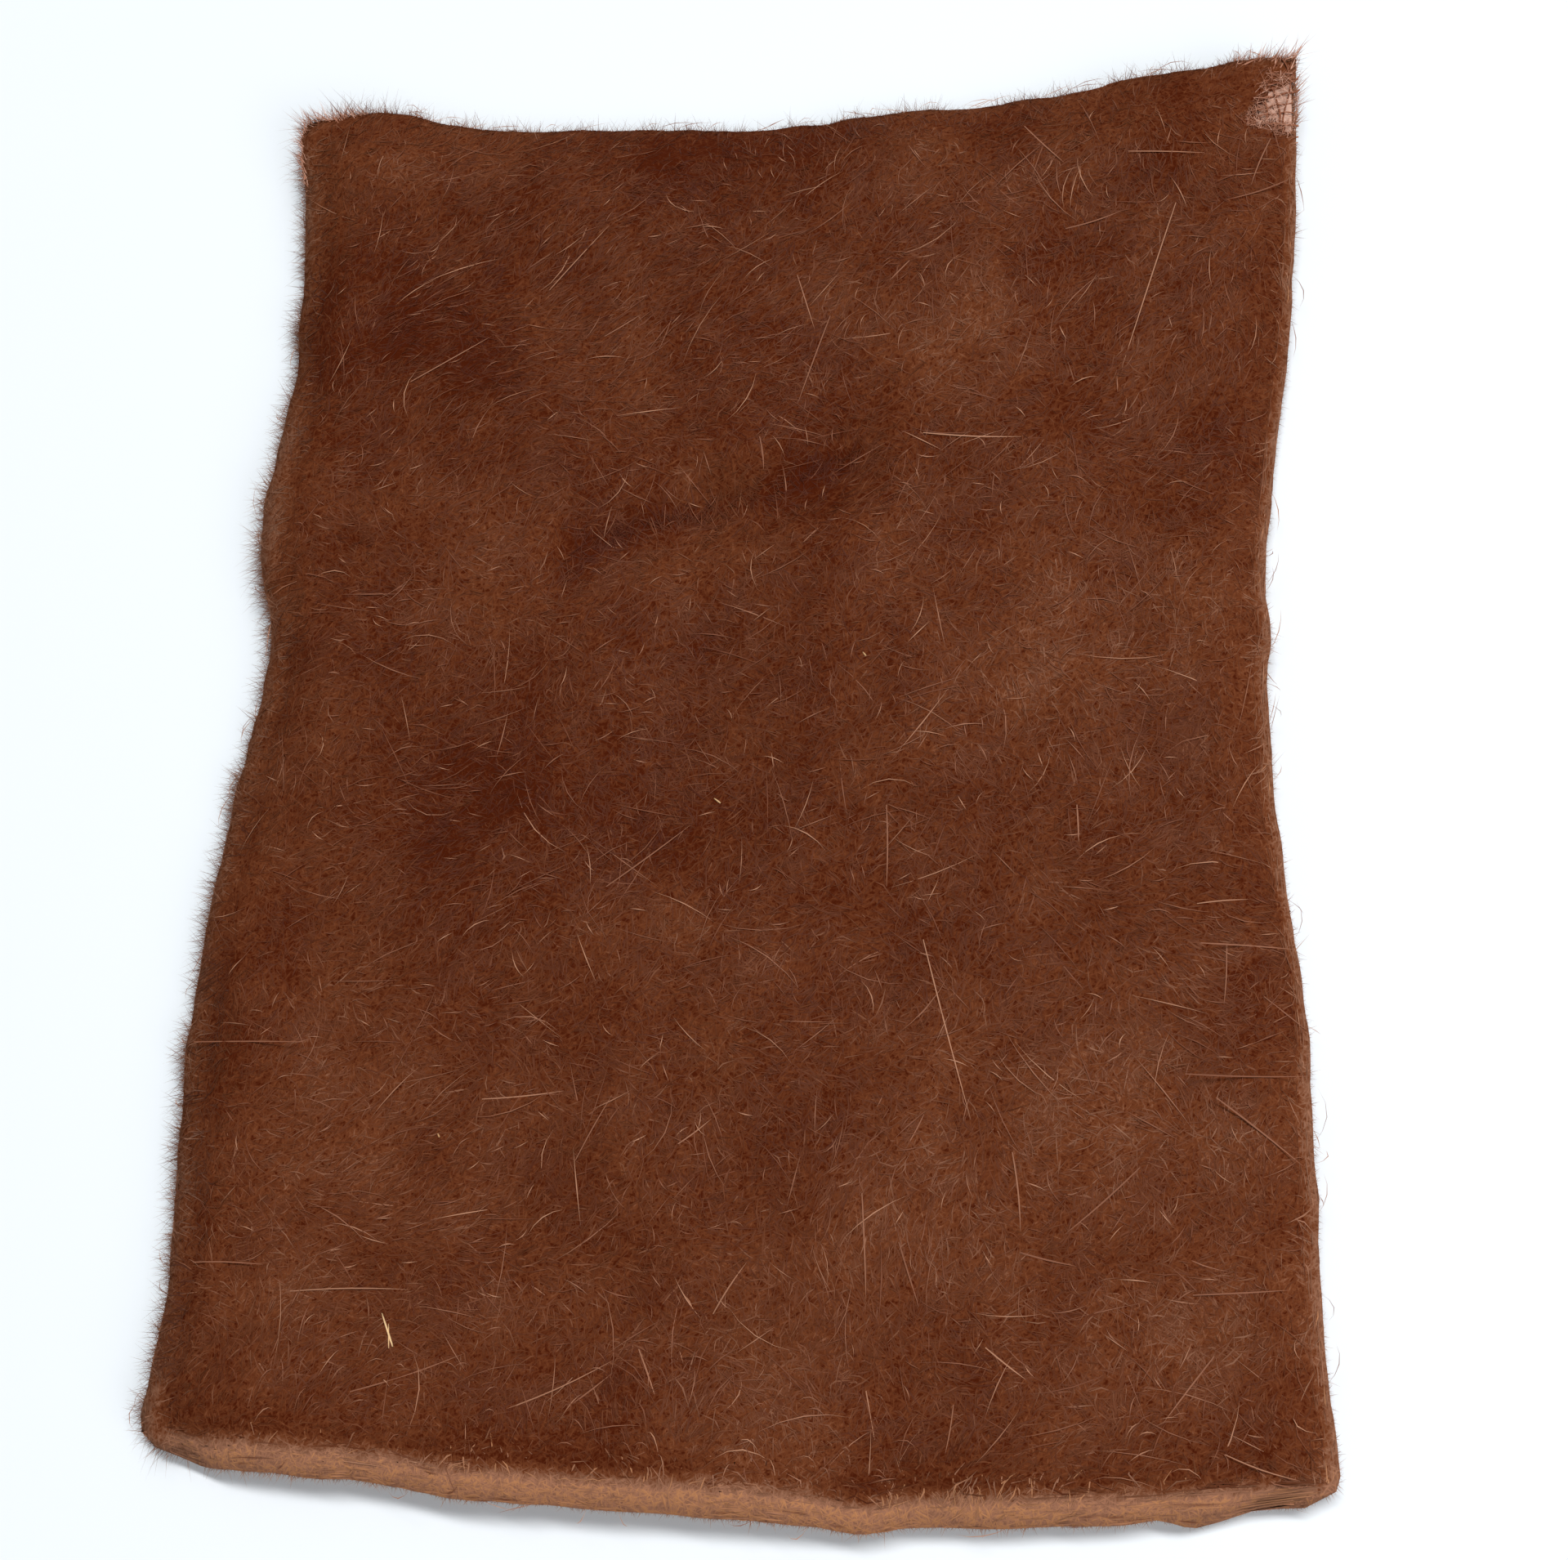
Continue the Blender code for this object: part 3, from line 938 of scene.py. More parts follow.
def underfur_material():
    """Matted wool: fully matt, in the tone of the hair on it, with strands, small clumps and painted shade
    in the pits.
    """
    material, shader = new_material("matted_underfur", roughness=0.95, ior=KERATIN_IOR, gloss=0.02)
    where = add_node(material, "ShaderNodeTexCoord").outputs["Object"]
    bent = swayed(material, where)
    strands = strands_in(material, bent, STRAND_TURNS[0])
    for turn in STRAND_TURNS[1:]:
        lighter = {0: strands, 1: strands_in(material, bent, turn)}
        strands = add_node(material, "ShaderNodeMath", lighter, operation="MAXIMUM").outputs[0]
    clump_scale = {"Vector": where, "Scale": 1 / UNDERFUR_CLUMP, "Detail": 2}
    clumps = add_node(material, "ShaderNodeTexNoise", clump_scale).outputs["Fac"]
    tone_here = add_node(material, "ShaderNodeAttribute", attribute_name="tone").outputs["Fac"]
    tone = tone_here
    patterns = ((strands, STRAND_CONTRAST, STRAND_LEVEL), (clumps, CLUMP_CONTRAST, 0.5))
    for pattern, contrast, level in patterns:
        over = {0: pattern, 1: level}
        centred = add_node(material, "ShaderNodeMath", over, operation="SUBTRACT").outputs[0]
        added = {0: centred, 1: contrast, 2: tone}
        tone = add_node(material, "ShaderNodeMath", added, operation="MULTIPLY_ADD").outputs[0]
    # Painted shade: dark pits where the wool between the strands lies in shade
    pit_scale = {"Vector": bent, "Scale": 1 / PIT_SIZE, "Detail": 1}
    pit_noise = add_node(material, "ShaderNodeTexNoise", pit_scale).outputs["Fac"]
    pit_range = {"Value": pit_noise, "From Min": 0.30, "From Max": 0.42}
    pit_range |= {"To Min": PIT_SHADE, "To Max": 0}
    painted_pits = add_node(material, "ShaderNodeMapRange", pit_range).outputs[0]
    # The cut edges, where the tan roots show, have no painted pit shade
    brown_range = {"Value": tone_here, "From Min": 0.45, "From Max": 0.75, "To Min": 1, "To Max": 0}
    brown = add_node(material, "ShaderNodeMapRange", brown_range).outputs[0]
    painted_pits = add_node(material, "ShaderNodeMath", {0: painted_pits, 1: brown}, operation="MULTIPLY").outputs[0]
    tone = add_node(material, "ShaderNodeMath", {0: tone, 1: painted_pits}, operation="SUBTRACT").outputs[0]
    colour = add_node(material, "ShaderNodeValToRGB", {0: tone}, HAIR_TONES)
    relief = add_node(material, "ShaderNodeBump", {"Height": strands, "Distance": 0.12 * MM})
    material.node_tree.links.new(colour.outputs[0], shader.inputs["Base Color"])
    material.node_tree.links.new(relief.outputs[0], shader.inputs["Normal"])
    return material


wool = slab_on_grid(cells_across, cells_along, not_worn)
u, v = shaped(wool, wool_place)
underfur = cloth_piece("underfur", mesh_of("underfur", wool), underfur_material())
keep_values(underfur, "tone", tone_and_painted_light_at(u, v))
print("underfur has", len(underfur.data.polygons), "faces")

# %% [markdown]
# ## The pile
# The hairs that show lie on the underfur, mostly along the lay, and cross each other. Each is a thin
# spindle on a curve through three places of the skin, so both of its ends sink into the fur. Hair that
# is matted scatters light from one fibre to the next and shades as one soft surface, so each hair takes
# the pile's own direction for its shading, varied a little.

# %% Laying the pile
PILE_PIECES = 3
HAIRS_A_PIECE = 32500
HAIRS_A_CLUMP = 6
CLUMP_SPREAD = 0.8 * MM
HAIR_WIDTH = 0.135 * MM
HAIR_SHORTEST = 1.1 * MM
HAIR_LONGEST = 3.4 * MM
# How far a hair's ends and middle stand over the skin in millimetres: (lowest, highest)
ENDS_PROUD = (-0.08, 0.06)
MIDDLE_PROUD = (-0.03, 0.06)
# How much each hair varies: its bow as a share of its length, its turn in radians and its tilt
BOWED = 0.07
TURNS = 0.35
TILTED = 0.14
# How far the surface turns outwards at a cut edge
TURNS_OVER = 0.4
# How much lighter a hair may be than the wool, how much darker, and how much its clump adds. The spread
# is partly the hair's own tone and partly painted highlight and shade, since every hair is shaded as the
# pile's surface.
TONE_AND_SHADE_VARIES = 0.13
TONE_DROPS = 0.05
CLUMP_TONE = 0.05
# How far from an edge the hair that is rooted further in stays, in millimetres
KEPT_IN = {"near": 1.6, "right": 0.9}


def random_place(count):
    """Random shares of the cloth, few of them on the worn spot."""
    u, v = rng.uniform(0, 1, (2, count * 2))
    keep = rng.uniform(0, 1, count * 2) < np.clip((from_worn_spot(u, v) - 0.8) * 2.2, 0.05, 1)
    return u[keep][:count], v[keep][:count]


def clumped_place(count):
    """Random shares of hairs that stand in clumps, with a turn and a tone that each clump shares."""
    clumps = count // HAIRS_A_CLUMP
    pick = rng.integers(0, clumps, count)
    clump_u, clump_v = random_place(clumps)
    u = clump_u[pick] + rng.normal(0, CLUMP_SPREAD / width, count)
    v = clump_v[pick] + rng.normal(0, CLUMP_SPREAD / length, count)
    turned, toned = rng.normal(0, 1, (2, clumps))
    return 1 - np.abs(1 - np.abs(u)), 1 - np.abs(1 - np.abs(v)), turned[pick], toned[pick]


def surface_of(u, v):
    """The direction that the pile's surface faces, rounded over towards the cut edges."""
    edge = rounding(u, v)[:, None]
    return unit(read(top_normal, u, v) * (1 - TURNS_OVER * edge) + outward_at(u, v) * TURNS_OVER * edge)


def on_skin(u, v, proud_mm):
    """A place on the lumpy skin, raised by some millimetres."""
    return read(skin_grid, u, v) + surface_of(u, v) * (proud_mm * MM)[:, None]


def lay_angle(u, v, turned):
    """The direction of each hair in radians: along the lay, more freely where the lay is weak."""
    direction = read(lay, u, v)
    stray = 1.25 - 0.85 * np.clip(np.linalg.norm(direction, axis=1), 0, 1)
    swirl = 0.25 * read(clumping, u, v)
    return np.arctan2(direction[:, 1], direction[:, 0]) + stray * turned + swirl


def lying_hairs(u, v, angle, lengths, proud_ends, proud_middle):
    """The starts, middles and ends of hairs that lie on the skin and bend a little."""
    count = len(u)
    aim = np.stack([np.cos(angle), np.sin(angle)], -1)
    side = np.stack([-aim[:, 1], aim[:, 0]], -1) * rng.normal(0, BOWED, (count, 1))
    at_start = read(skin_grid, u, v)[:, :2]
    lowest_v = np.minimum(v, KEPT_IN["near"] * MM / length)
    highest_u = np.maximum(u, 1 - KEPT_IN["right"] * MM / width)
    places = [(u, v)]
    for share, bow in ((0.5, 1), (1.0, 0)):
        level = at_start + (aim * share + side * bow) * lengths[:, None]
        at_u, at_v = share_of(level[:, 0], level[:, 1])
        places.append((np.clip(at_u, 0, highest_u), np.clip(at_v, lowest_v, 1)))
    proud = [rng.uniform(*limits, count) for limits in (proud_ends, proud_middle, proud_ends)]
    return [on_skin(*place, height) for place, height in zip(places, proud)]


def tilted(facing):
    """The surface's direction, varied from hair to hair."""
    return unit(facing + rng.normal(0, TILTED, facing.shape))


for number in range(PILE_PIECES):
    u, v, turned, toned = clumped_place(HAIRS_A_PIECE)
    angle = lay_angle(u, v, turned) + TURNS * rng.normal(0, 1, HAIRS_A_PIECE)
    lengths = rng.uniform(HAIR_SHORTEST, HAIR_LONGEST, HAIRS_A_PIECE)
    three_places = lying_hairs(u, v, angle, lengths, ENDS_PROUD, MIDDLE_PROUD)
    facing = tilted(surface_of(u, v))
    widths = HAIR_WIDTH * rng.uniform(0.6, 1.3, HAIRS_A_PIECE)
    points = laid(LYING_HAIR, *three_places, widths, facing)
    # Painted highlight and shade, with the hair's own tone, vary each hair
    lighter = np.abs(rng.normal(0, TONE_AND_SHADE_VARIES, HAIRS_A_PIECE)) - TONE_DROPS
    tones = tone_and_painted_light_at(u, v) + CLUMP_TONE * toned + lighter
    joined(f"pile_hair_{number + 1}", points, LYING_HAIR, tones, dyed_hair, facing)

# %% [markdown]
# ## Hair on the cut edges
# Scissors part the pile, and the edge shows the hairs' roots, which took more orange dye. Their tan is
# brightened as painted light that shines through the thin hair of the edge. Fine hairs lean out over the
# cut, by less than a millimetre on average and by more than two where they stray or splay. Straight and
# bent cones are mixed, because a row of straight ones looks like a brush.

# %% Rim hair
RIM_STRAIGHT = 26000
RIM_BENT = 10000
RIM_WIDTH = 0.075 * MM
ROOTED_IN = 0.5 * MM
SHARE_OF_RIM = {"near": 0.15, "far": 0.30, "left": 0.40, "right": 0.15}
# How far rim hairs stand out on average in millimetres, and how steeply in degrees
STANDS_OUT = {"near": 0.15, "far": 0.6, "left": 0.9, "right": 0.14}
STEEP = {"near": 0.0, "far": 22.0, "left": 12.0, "right": 5.0}
STEEP_VARIES = 14
LONGEST_STRAY = 2.2 * MM
# A hair that strays further than this is paler by this tone, as painted light through the thin hair
STRAYS_FROM = 0.8 * MM
STRAY_PALER = 0.15
# Splayed tufts in millimetres: (name, x, y, extra length, reach)
TUFTS = (
    ("far left corner", -47, 65, 2.6, 8),
    ("far right corner", 50, 66, 1.2, 5),
    ("left edge bulge", -50, 17, 0.9, 9),
)


def rim_places(count):
    """Random places on the four cut edges, as shares u and v."""
    edge = np.digitize(rng.uniform(0, 1, count), np.cumsum(list(SHARE_OF_RIM.values()))[:3])
    t = rng.uniform(0, 1, count)
    u = np.choose(edge, (t, t, 0 * t, 1 + 0 * t))
    v = np.choose(edge, (0 * t, 1 + 0 * t, t, t))
    return u, v


def tuft_length(points):
    """The extra length of hairs in the splayed tufts."""
    longer = np.zeros(len(points))
    for _, place_x, place_y, extra, reach_mm in TUFTS:
        away = np.hypot(points[:, 0] / MM - place_x, points[:, 1] / MM - place_y) / reach_mm
        longer = longer + extra * MM * np.clip(1 - away, 0, 1)
    return longer * rng.uniform(0, 1, len(points)) ** 2


def rim_hairs(count):
    """Fine hairs on the cut edges, from the sheet up to the rounded top of the pile."""
    u, v = rim_places(count)
    outward, facing = outward_at(u, v), read(normal, u, v)
    sideways = np.cross(facing, outward)
    height = rng.uniform(0.05, 1.0, count)[:, None]
    foot_of_wall = above_underside(u, v, SHEET_THICK) + FOOT_SPREADS * spread_at(u, v)
    roots = foot_of_wall * (1 - height) + skin(u, v, 0.1 * MM) * height - outward * ROOTED_IN
    steep = by_edge(u, v, **STEEP) * height[:, 0]
    lean = np.radians(rng.normal(0, STEEP_VARIES, count) + steep)[:, None]
    sway = (rng.normal(0, 0.8, count) + 0.5 * read(clumping, u, v))[:, None]
    aims = unit(outward * np.cos(lean) + facing * np.sin(lean) + sideways * sway)
    stands_out = rng.exponential(by_edge(u, v, **STANDS_OUT) * MM * (1 + read(ragged, u, v)))
    lengths = ROOTED_IN + 0.1 * MM + np.minimum(stands_out, LONGEST_STRAY) + tuft_length(roots)
    bends = (sideways * rng.normal(0, 0.3, (count, 1)) - facing * 0.08) * lengths[:, None]
    widths = RIM_WIDTH * rng.uniform(0.7, 1.3, count)
    tones = tone_and_painted_light_at(u, v) + rng.normal(0.05, 0.14, count) + STRAY_PALER * (stands_out > STRAYS_FROM)
    return roots, aims, lengths, widths, bends, tones, unit(facing + 0.8 * outward)


for title, shape, count in (("straight", SHORT_HAIR, RIM_STRAIGHT), ("bent", BENT_HAIR, RIM_BENT)):
    roots, aims, lengths, widths, bends, tones, facing = rim_hairs(count)
    points = sprouted(shape, roots, aims, lengths, widths, bends, facing)
    joined(f"rim_hair_{title}", points, shape, tones, dyed_hair, facing)

# %% [markdown]
# ## The worn corner
# Where the hair is gone, the weave shows as single threads with light between them. A thread is one
# long tube template bent along a path that passes over and under its neighbours. Its cut end frays, and
# fine fuzz still crosses the gaps. Both far corners end in hairs and threads that fan out.

# %% Threads over and under
THREAD_WIDTH = 0.27 * MM
THREAD_RISE = 0.13 * MM
THREADS_EACH_WAY = 9
FRAY_LONGEST = 1.6 * MM
THREAD_RINGS = 39
THREAD = blunt_tube(sides=6, rings=THREAD_RINGS)


def thread_path(number, crosswise):
    """The route of one thread from under the hair to its cut end, which strays."""
    steps = np.linspace(0, 1, THREAD_RINGS + 2)
    reach_mm = THREADS_EACH_WAY * THREAD_PITCH
    fray = rng.uniform(0.0, 0.5 if crosswise else 1.0) * FRAY_LONGEST
    run = -reach_mm + (reach_mm + fray) * steps
    wander = np.sin(run / THREAD_PITCH * 0.8 + rng.uniform(0, 6)) * rng.uniform(0.1, 0.35)
    side = THREAD_PITCH * (rng.normal(0, 0.1) - number + wander)
    beyond = np.clip(run / FRAY_LONGEST, 0, 1)
    side = side + rng.uniform(-0.8, 0.8) * MM * beyond**1.5
    pair = (run, side) if crosswise else (side, run)
    u, v = 1 + pair[0] / width, 1 + pair[1] / length
    phase = number + (0 if crosswise else 1)
    wave = THREAD_RISE * np.cos(math.pi * (run / THREAD_PITCH + phase))
    height = 0.4 * MM + wave + beyond * rng.uniform(-0.1, 0.9) * MM
    within = on_cloth(np.clip(u, 0, 1), np.clip(v, 0, 1), 0.0)
    over = np.stack([(u - np.clip(u, 0, 1)) * width, (v - np.clip(v, 0, 1)) * length, height], -1)
    return within + over


threads = []
for number in range(THREADS_EACH_WAY):
    for crosswise in (True, False):
        route = thread_path(number + 0.4, crosswise)
        girth = THREAD_WIDTH * rng.uniform(0.75, 1.25) * np.linspace(1.0, 0.5, len(route))
        threads.append(drawn_along(THREAD, route, girth))

THREAD_TONES = ((0.0, "7A4630"), (0.5, "976047"), (1.0, "B88468"))
thread_cotton = hair_material("dyed_cotton_thread", THREAD_TONES, shadow=0.0)
thread_tones = np.linspace(0, 1, len(threads))
corner_threads = joined("corner_threads", np.array(threads), THREAD, thread_tones, thread_cotton)

# %% Fuzz across the gaps
FUZZ_HAIRS = 1200
FUZZ_WIDTH = 0.06 * MM
FUZZ_REACH = 2.2

spot_x = WORN_PLACE[0] + WORN_SIZE[0] * FUZZ_REACH * rng.uniform(-1, 1, FUZZ_HAIRS)
spot_y = WORN_PLACE[1] + WORN_SIZE[1] * FUZZ_REACH * rng.uniform(-1, 1, FUZZ_HAIRS)
u, v = share_of(spot_x * MM, spot_y * MM)
spot_away = from_worn_spot(u, v)
chance = np.clip(spot_away, 0.15, 1) * np.clip((FUZZ_REACH - spot_away) / 0.8, 0, 1)
inside = (u < 1) & (v < 1) & (rng.uniform(0, 1, FUZZ_HAIRS) < chance)
u, v = u[inside], v[inside]
count = len(u)
turn = rng.uniform(0, 2 * math.pi, count)
aims = unit(np.stack([np.cos(turn), np.sin(turn), rng.uniform(-0.1, 0.35, count)], -1))
lengths = rng.uniform(0.8, 2.6, count) * MM
bends = rng.normal(0, 0.12, (count, 3)) * lengths[:, None]
roots = above_underside(u, v, 0.75 * MM) - aims * lengths[:, None] / 2
facing = unit(read(normal, u, v))
points = sprouted(BENT_HAIR, roots, aims, lengths, np.full(count, FUZZ_WIDTH), bends, facing)
fuzz_tones = rng.uniform(0.0, 0.85, count)
# The palest tone is partly painted light of the paper through the thin fuzz
WORN_TONES = ((0.0, "7E4B34"), (0.5, "A9745C"), (1.0, "DDB19C"))
worn_hair = hair_material("worn_rabbit_hair", WORN_TONES, shadow=0.0)
joined("corner_fuzz_hair", points, BENT_HAIR, fuzz_tones, worn_hair, facing)

# %% Splayed ends at the two far corners
SPLAY_WIDTH = 0.13 * MM
SPLAY_ALONG = 5.5
SPLAY_VARIES = 18
SPLAY_ROOTED = 1.3 * MM
ON_FAR_EDGE = 0.6
# The corners: (name, share u of the corner, number of ends, mean turn of those on the far edge and of
# those on the side edge in degrees, longest end in millimetres)
SPLAYED = (
    ("far right", 1, 240, 48, 52, 3.7),
    ("far left", 0, 330, 144, 128, 3.6),
)


def splayed_ends(corner_u, count, far_turn, side_turn, longest):
    """Hairs and thread ends that fan out from the two edges beside a far corner."""
    away = rng.uniform(0, SPLAY_ALONG, count) * MM
    on_far_edge = rng.uniform(0, 1, count) < ON_FAR_EDGE
    u = np.where(on_far_edge, np.abs(corner_u - away / width), corner_u)
    v = np.where(on_far_edge, 1, 1 - away / length)
    turn = np.radians(rng.normal(np.where(on_far_edge, far_turn, side_turn), SPLAY_VARIES))
    aims = unit(np.stack([np.cos(turn), np.sin(turn), rng.uniform(0.0, 0.5, count)], -1))
    lengths = (rng.uniform(1.4, longest, count) + 0.6 - away / MM * 0.3) * MM
    bends = rng.normal(0, 0.12, (count, 3)) * lengths[:, None]
    facing = unit(read(normal, u, v))
    widths = SPLAY_WIDTH * rng.uniform(0.4, 1.3, count)
    roots = skin(u, v) - aims * SPLAY_ROOTED
    return sprouted(BENT_HAIR, roots, aims, lengths, widths, bends, facing), facing


for corner_name, *facts in SPLAYED:
    points, facing = splayed_ends(*facts)
    tones = rng.uniform(0.0, 0.9, len(points))
    title = f"splayed_hair_{corner_name.replace(' ', '_')}"
    joined(title, points, BENT_HAIR, tones, worn_hair, facing)

# %% [markdown]
# ## Guard hairs
# A few long coarse hairs stand clear of the rest, pale tan and almost straight. The ones that show best
# are placed where the photo has them: a sight line from the camera through two pixels meets the pile,
# and the hair lies between the two points, a little proud of the pile. Others are scattered.

# %% Guard hairs that show in the photo
# Pixels of the photo: (start x, start y, end x, end y)
PLACED_HAIRS = (
    (673, 356, 746, 277),
    (503, 468, 599, 414),
    (740, 412, 785, 385),
    (976, 337, 997, 403),
    (1016, 387, 976, 495),
    (1254, 156, 1302, 200),
    (1381, 187, 1474, 189),
    (1555, 170, 1531, 227),
    (1575, 225, 1500, 249),
    (1304, 280, 1373, 258),
    (1439, 249, 1373, 451),
    (1113, 319, 1089, 343),
    (1130, 530, 1250, 535),
    (930, 535, 935, 575),
    (742, 1085, 845, 1010),
    (1085, 985, 1085, 1085),
    (1318, 985, 1320, 1030),
    (1469, 1157, 1583, 1165),
    (1501, 1157, 1498, 1229),
    (1465, 1106, 1527, 1101),
    (1450, 1317, 1603, 1320),
    (1488, 1345, 1593, 1428),
    (1547, 1220, 1600, 1262),
    (1130, 1150, 1188, 1370),
    (245, 1278, 380, 1278),
    (240, 1545, 325, 1548),
    (355, 1580, 500, 1578),
    (429, 1703, 567, 1657),
    (609, 1728, 750, 1665),
    (695, 1722, 750, 1680),
    (873, 1608, 914, 1545),
    (1055, 1460, 1060, 1590),
    (1100, 1520, 1125, 1600),
    (705, 1420, 750, 1340),
    (830, 1400, 870, 1370),
    (590, 1345, 690, 1335),
    (782, 1651, 803, 1712),
    (1060, 1702, 1071, 1765),
    (1167, 1719, 1157, 1779),
    (1206, 1649, 1255, 1688),
    (1239, 1410, 1249, 1507),
    (1249, 1533, 1314, 1549),
    (1395, 1429, 1304, 1510),
    (1460, 1585, 1577, 1579),
    (1486, 1660, 1424, 1741),
    (1499, 1780, 1590, 1812),
)
GUARD_WIDTH = 0.13 * MM
# How wide a guard hair is at seven places from its root to its tip, as a share of its width
GUARD_TAPER = np.array((0.7, 0.95, 1, 1, 0.9, 0.6, 0.15))
PROUD = 0.06 * MM
GUARD_TONES = ((0.0, "6E3E29"), (0.5, "8C5C45"), (1.0, "BA886A"))
guard_fibre = hair_material("pale_guard_hair", GUARD_TONES, shadow=0.15)


def on_pile(px, py):
    """The place on the pile that the camera sees at a pixel, or on the level of its edge beyond it."""
    aim = sight_line(px, py)
    level = 4 * MM
    for _ in range(ROUNDS):
        point = np.array(CAMERA_PLACE + aim * ((level - CAMERA_PLACE.z) / aim.z))
        u, v = np.clip(share_of(*point[:2, None]), 0, 1)
        level = read(skin_grid, u, v)[0, 2]
    return point


def guard_path(start, end, bow):
    """A path of a guard hair: it is stiff, so it rests on the highest places of the pile under it."""
    share = np.linspace(0, 1, len(GUARD_TAPER))[:, None]
    swell = np.sin(share * math.pi)
    sideways = unit(np.cross(end - start, (0, 0, 1)))
    line = start + (end - start) * share + sideways * bow * swell
    u, v = np.clip(share_of(line[:, 0], line[:, 1]), 0, 1)
    pile_over_line = read(skin_grid, u, v)[:, 2] - line[:, 2]
    return line + np.array(UP) * (max(pile_over_line.max(), 0) + PROUD)


hairs, hair_tones = [], []
for x0, y0, x1, y1 in PLACED_HAIRS:
    start, end = on_pile(x0, y0), on_pile(x1, y1)
    path = guard_path(start, end, rng.normal(0, 0.015) * np.linalg.norm(end - start))
    girth = GUARD_WIDTH * GUARD_TAPER * rng.uniform(0.85, 1.2)
    hairs.append(drawn_along(LONG_HAIR, path, girth))
    hair_tones.append(rng.uniform(0.3, 0.85))
all_up = np.tile(UP, (len(hairs), 1))
joined("guard_hair", np.array(hairs), LONG_HAIR, np.array(hair_tones), guard_fibre, all_up)

# %% Loose hairs on the pile
LOOSE_ON_PILE = 2600
LOOSE_SHORTEST = 1.5 * MM
LOOSE_LONGEST = 9 * MM
LOOSE_WIDTH = 0.095 * MM
# How far their ends and middle stand over the skin in millimetres: (lowest, highest)
LOOSE_ENDS_PROUD = (0.0, 0.12)
LOOSE_MIDDLE_PROUD = (0.04, 0.16)

u, v = random_place(LOOSE_ON_PILE)
angle = lay_angle(u, v, rng.normal(0, 0.7, LOOSE_ON_PILE))
spans = LOOSE_SHORTEST + (LOOSE_LONGEST - LOOSE_SHORTEST) * rng.uniform(0, 1, LOOSE_ON_PILE) ** 4
three_places = lying_hairs(u, v, angle, spans, LOOSE_ENDS_PROUD, LOOSE_MIDDLE_PROUD)
on_top_facing = surface_of(u, v)
widths = LOOSE_WIDTH * rng.uniform(0.7, 1.3, LOOSE_ON_PILE)
on_top = laid(LOOSE_HAIR, *three_places, widths, on_top_facing)
# A high power leaves most of them dark and a few pale
loose_tones = rng.uniform(0.0, 1.0, LOOSE_ON_PILE) ** 2.2 * 0.9
print("loose hairs on the pile are up to", round(spans.max() / MM, 1), "mm long")

# %% Loose hairs along the cut edges
# How many lie along each edge
LOOSE_ALONG = {"near": 8, "far": 50, "left": 30, "right": 24}
drawn, beside_facing = [], []
for edge_name, count in LOOSE_ALONG.items():
    side_length = width if edge_name in ("near", "far") else length
    t = rng.uniform(0.02, 0.98, count)
    run = rng.uniform(0.8, 5.0, count) * rng.choice((-1, 1), count) * MM / side_length
    t = np.clip(np.stack([t, t + run / 2, t + run]), 0, 1).ravel()
    fixed = np.full(len(t), 1.0 if edge_name in ("far", "right") else 0.0)
    u, v = (t, fixed) if edge_name in ("near", "far") else (fixed, t)
    off = np.concatenate([np.full(count, -0.2), *rng.uniform(0.2, 1.2, (2, count))]) * MM
    three_places = np.split(skin(u, v) + outward_at(u, v) * off[:, None], 3)
    facing = read(normal, u, v)[:count]
    widths = LOOSE_WIDTH * rng.uniform(0.5, 1.0, count)
    drawn.append(laid(LOOSE_HAIR, *three_places, widths, facing))
    beside_facing.append(facing)
points = np.concatenate([on_top, *drawn])
tones = np.concatenate([loose_tones, rng.uniform(0.3, 1.0, sum(LOOSE_ALONG.values()))])
facing = np.concatenate([on_top_facing, *beside_facing])
joined("loose_hair", points, LOOSE_HAIR, tones, guard_fibre, facing)

# %% [markdown]
# ## Flecks
# Hair cloth picks up chaff. One straw-coloured sliver with a split end and three pale specks show. Each
# is a short blunt tube, drawn along a straight path between two pixels as a guard hair is.

# %% Straw and specks
# Pixels of the photo and a width in millimetres: (name, start x, start y, end x, end y, width)
FLECKS = (
    ("straw", 468, 1607, 481, 1648, 0.30),
    ("straw, split end", 476, 1620, 476, 1650, 0.18),
    ("speck, middle", 874, 977, 882, 983, 0.25),
    ("speck, upper", 1056, 798, 1060, 803, 0.25),
    ("speck, left", 536, 1387, 538, 1392, 0.25),
)
FLECK_TAPER = np.array((0.4, 0.7, 0.9, 1.0, 1.0, 0.9, 0.5))
FLECK_TONES = ((0.0, "A8744A"), (1.0, "E3BE8E"))
slivers = []
for _, x0, y0, x1, y1, width_mm in FLECKS:
    path = guard_path(on_pile(x0, y0), on_pile(x1, y1), 0.0)
    slivers.append(drawn_along(LONG_HAIR, path, width_mm * MM * FLECK_TAPER))
chaff = hair_material("dry_straw", FLECK_TONES, shadow=0.1)
fleck_tones = np.linspace(1, 0.3, len(slivers))
flecks = joined("flecks", np.array(slivers), LONG_HAIR, fleck_tones, chaff)
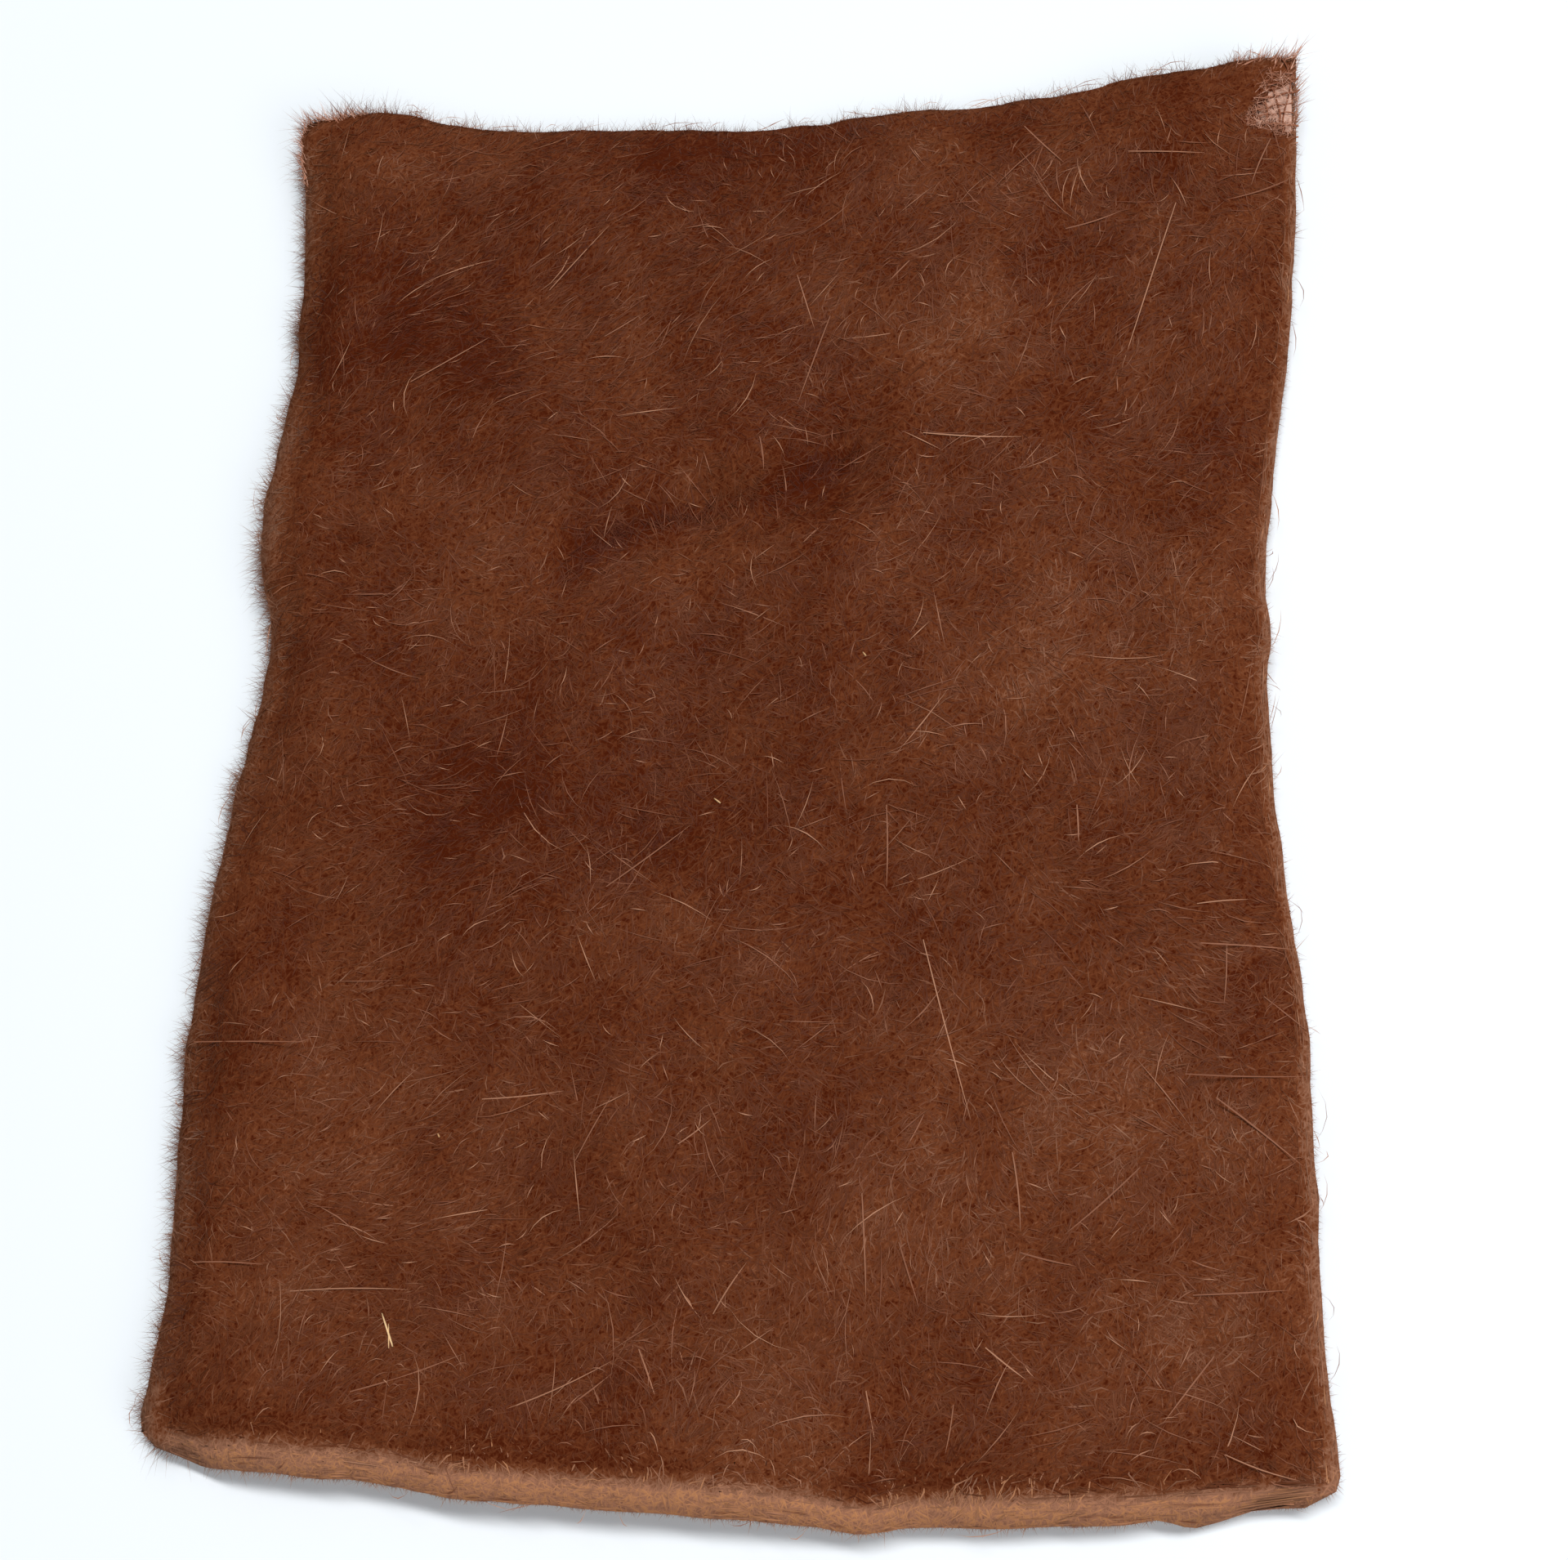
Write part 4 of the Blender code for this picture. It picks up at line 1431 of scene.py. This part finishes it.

# %% [markdown]
# ## The sheet's own facts
# The ground is one sheet, cut flat and laid down.

# %% [markdown]
# ## Floor and light
# The cloth lay on white paper by a window. A wide, shallow lamp stands far behind it: the near edge's
# shadow ends sharply in the lamp's shallow direction and fades softly at its left end in the wide one. A
# weak light where a pale wall would be, at the near right, brightens the cut side, and a pale sky fills
# the rest. The Standard view keeps the paper as white as it is in the photo.

# %% Floor
FLOOR_SIZE = 3.0
floor_shape = bmesh.new()
bmesh.ops.create_grid(floor_shape, x_segments=1, y_segments=1, size=FLOOR_SIZE / 2)
bmesh.ops.translate(floor_shape, verts=floor_shape.verts[:], vec=(0, 0, -0.02 * MM))
paper, paper_shader = new_material("white_paper", roughness=0.8, ior=1.5)
paper_shader.inputs["Base Color"].default_value = linear("E3E8EC")
floor = linked("floor", mesh_of("floor", floor_shape))
floor.data.materials.append(paper)
floor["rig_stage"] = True
print("the floor is", FLOOR_SIZE, "m wide")

# %% Light
# Lights in metres: (name, place, width, depth, watts)
LIGHTS = (
    ("soft_lamp", (0.26, 0.68, 1.68), 1.5, 0.24, 33.0),
    ("pale_wall", (0.42, -0.34, 0.35), 0.4, 0.4, 1.7),
)
SKY_COLOUR = "F7FBFF"
SKY_STRENGTH = 0.27

for light_name, place, across, deep, watts in LIGHTS:
    light = linked(light_name, bpy.data.lights.new(light_name, "AREA"))
    light.data.shape = "RECTANGLE"
    light.data.size = across
    light.data.size_y = deep
    light.data.energy = watts
    light.location = place
    light.rotation_mode = "QUATERNION"
    light.rotation_quaternion = (-Vector(place)).to_track_quat("-Z", "Y")
    print(light_name, watts, "W at", place, "m")

world = bpy.data.worlds.new("sky")
world.use_nodes = True
sky = world.node_tree.nodes["Background"]
sky.inputs["Color"].default_value = linear(SKY_COLOUR)
sky.inputs["Strength"].default_value = SKY_STRENGTH
bpy.context.scene.world = world
bpy.context.scene.view_settings.view_transform = "Standard"
print("the sky gives", SKY_STRENGTH)

# %% [markdown]
# ## Size
# The box of everything shown is printed beside the CAD box, so that the two can be compared.

# %% Print how far the shown box stands proud of the CAD box
shown = [piece for piece in bpy.data.objects if "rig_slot" in piece]
triangles = sum(len(face.vertices) - 2 for piece in shown for face in piece.data.polygons)
print(len(shown), "pieces have", triangles, "triangles in all")
shown_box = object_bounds()
for corner_name, cad_corner, shown_corner in zip(("low", "high"), cad_box, shown_box):
    proud = [round((b - a) / MM, 1) for a, b in zip(cad_corner, shown_corner)]
    print("the", corner_name, "corner stands proud of the CAD box by", proud, "mm")
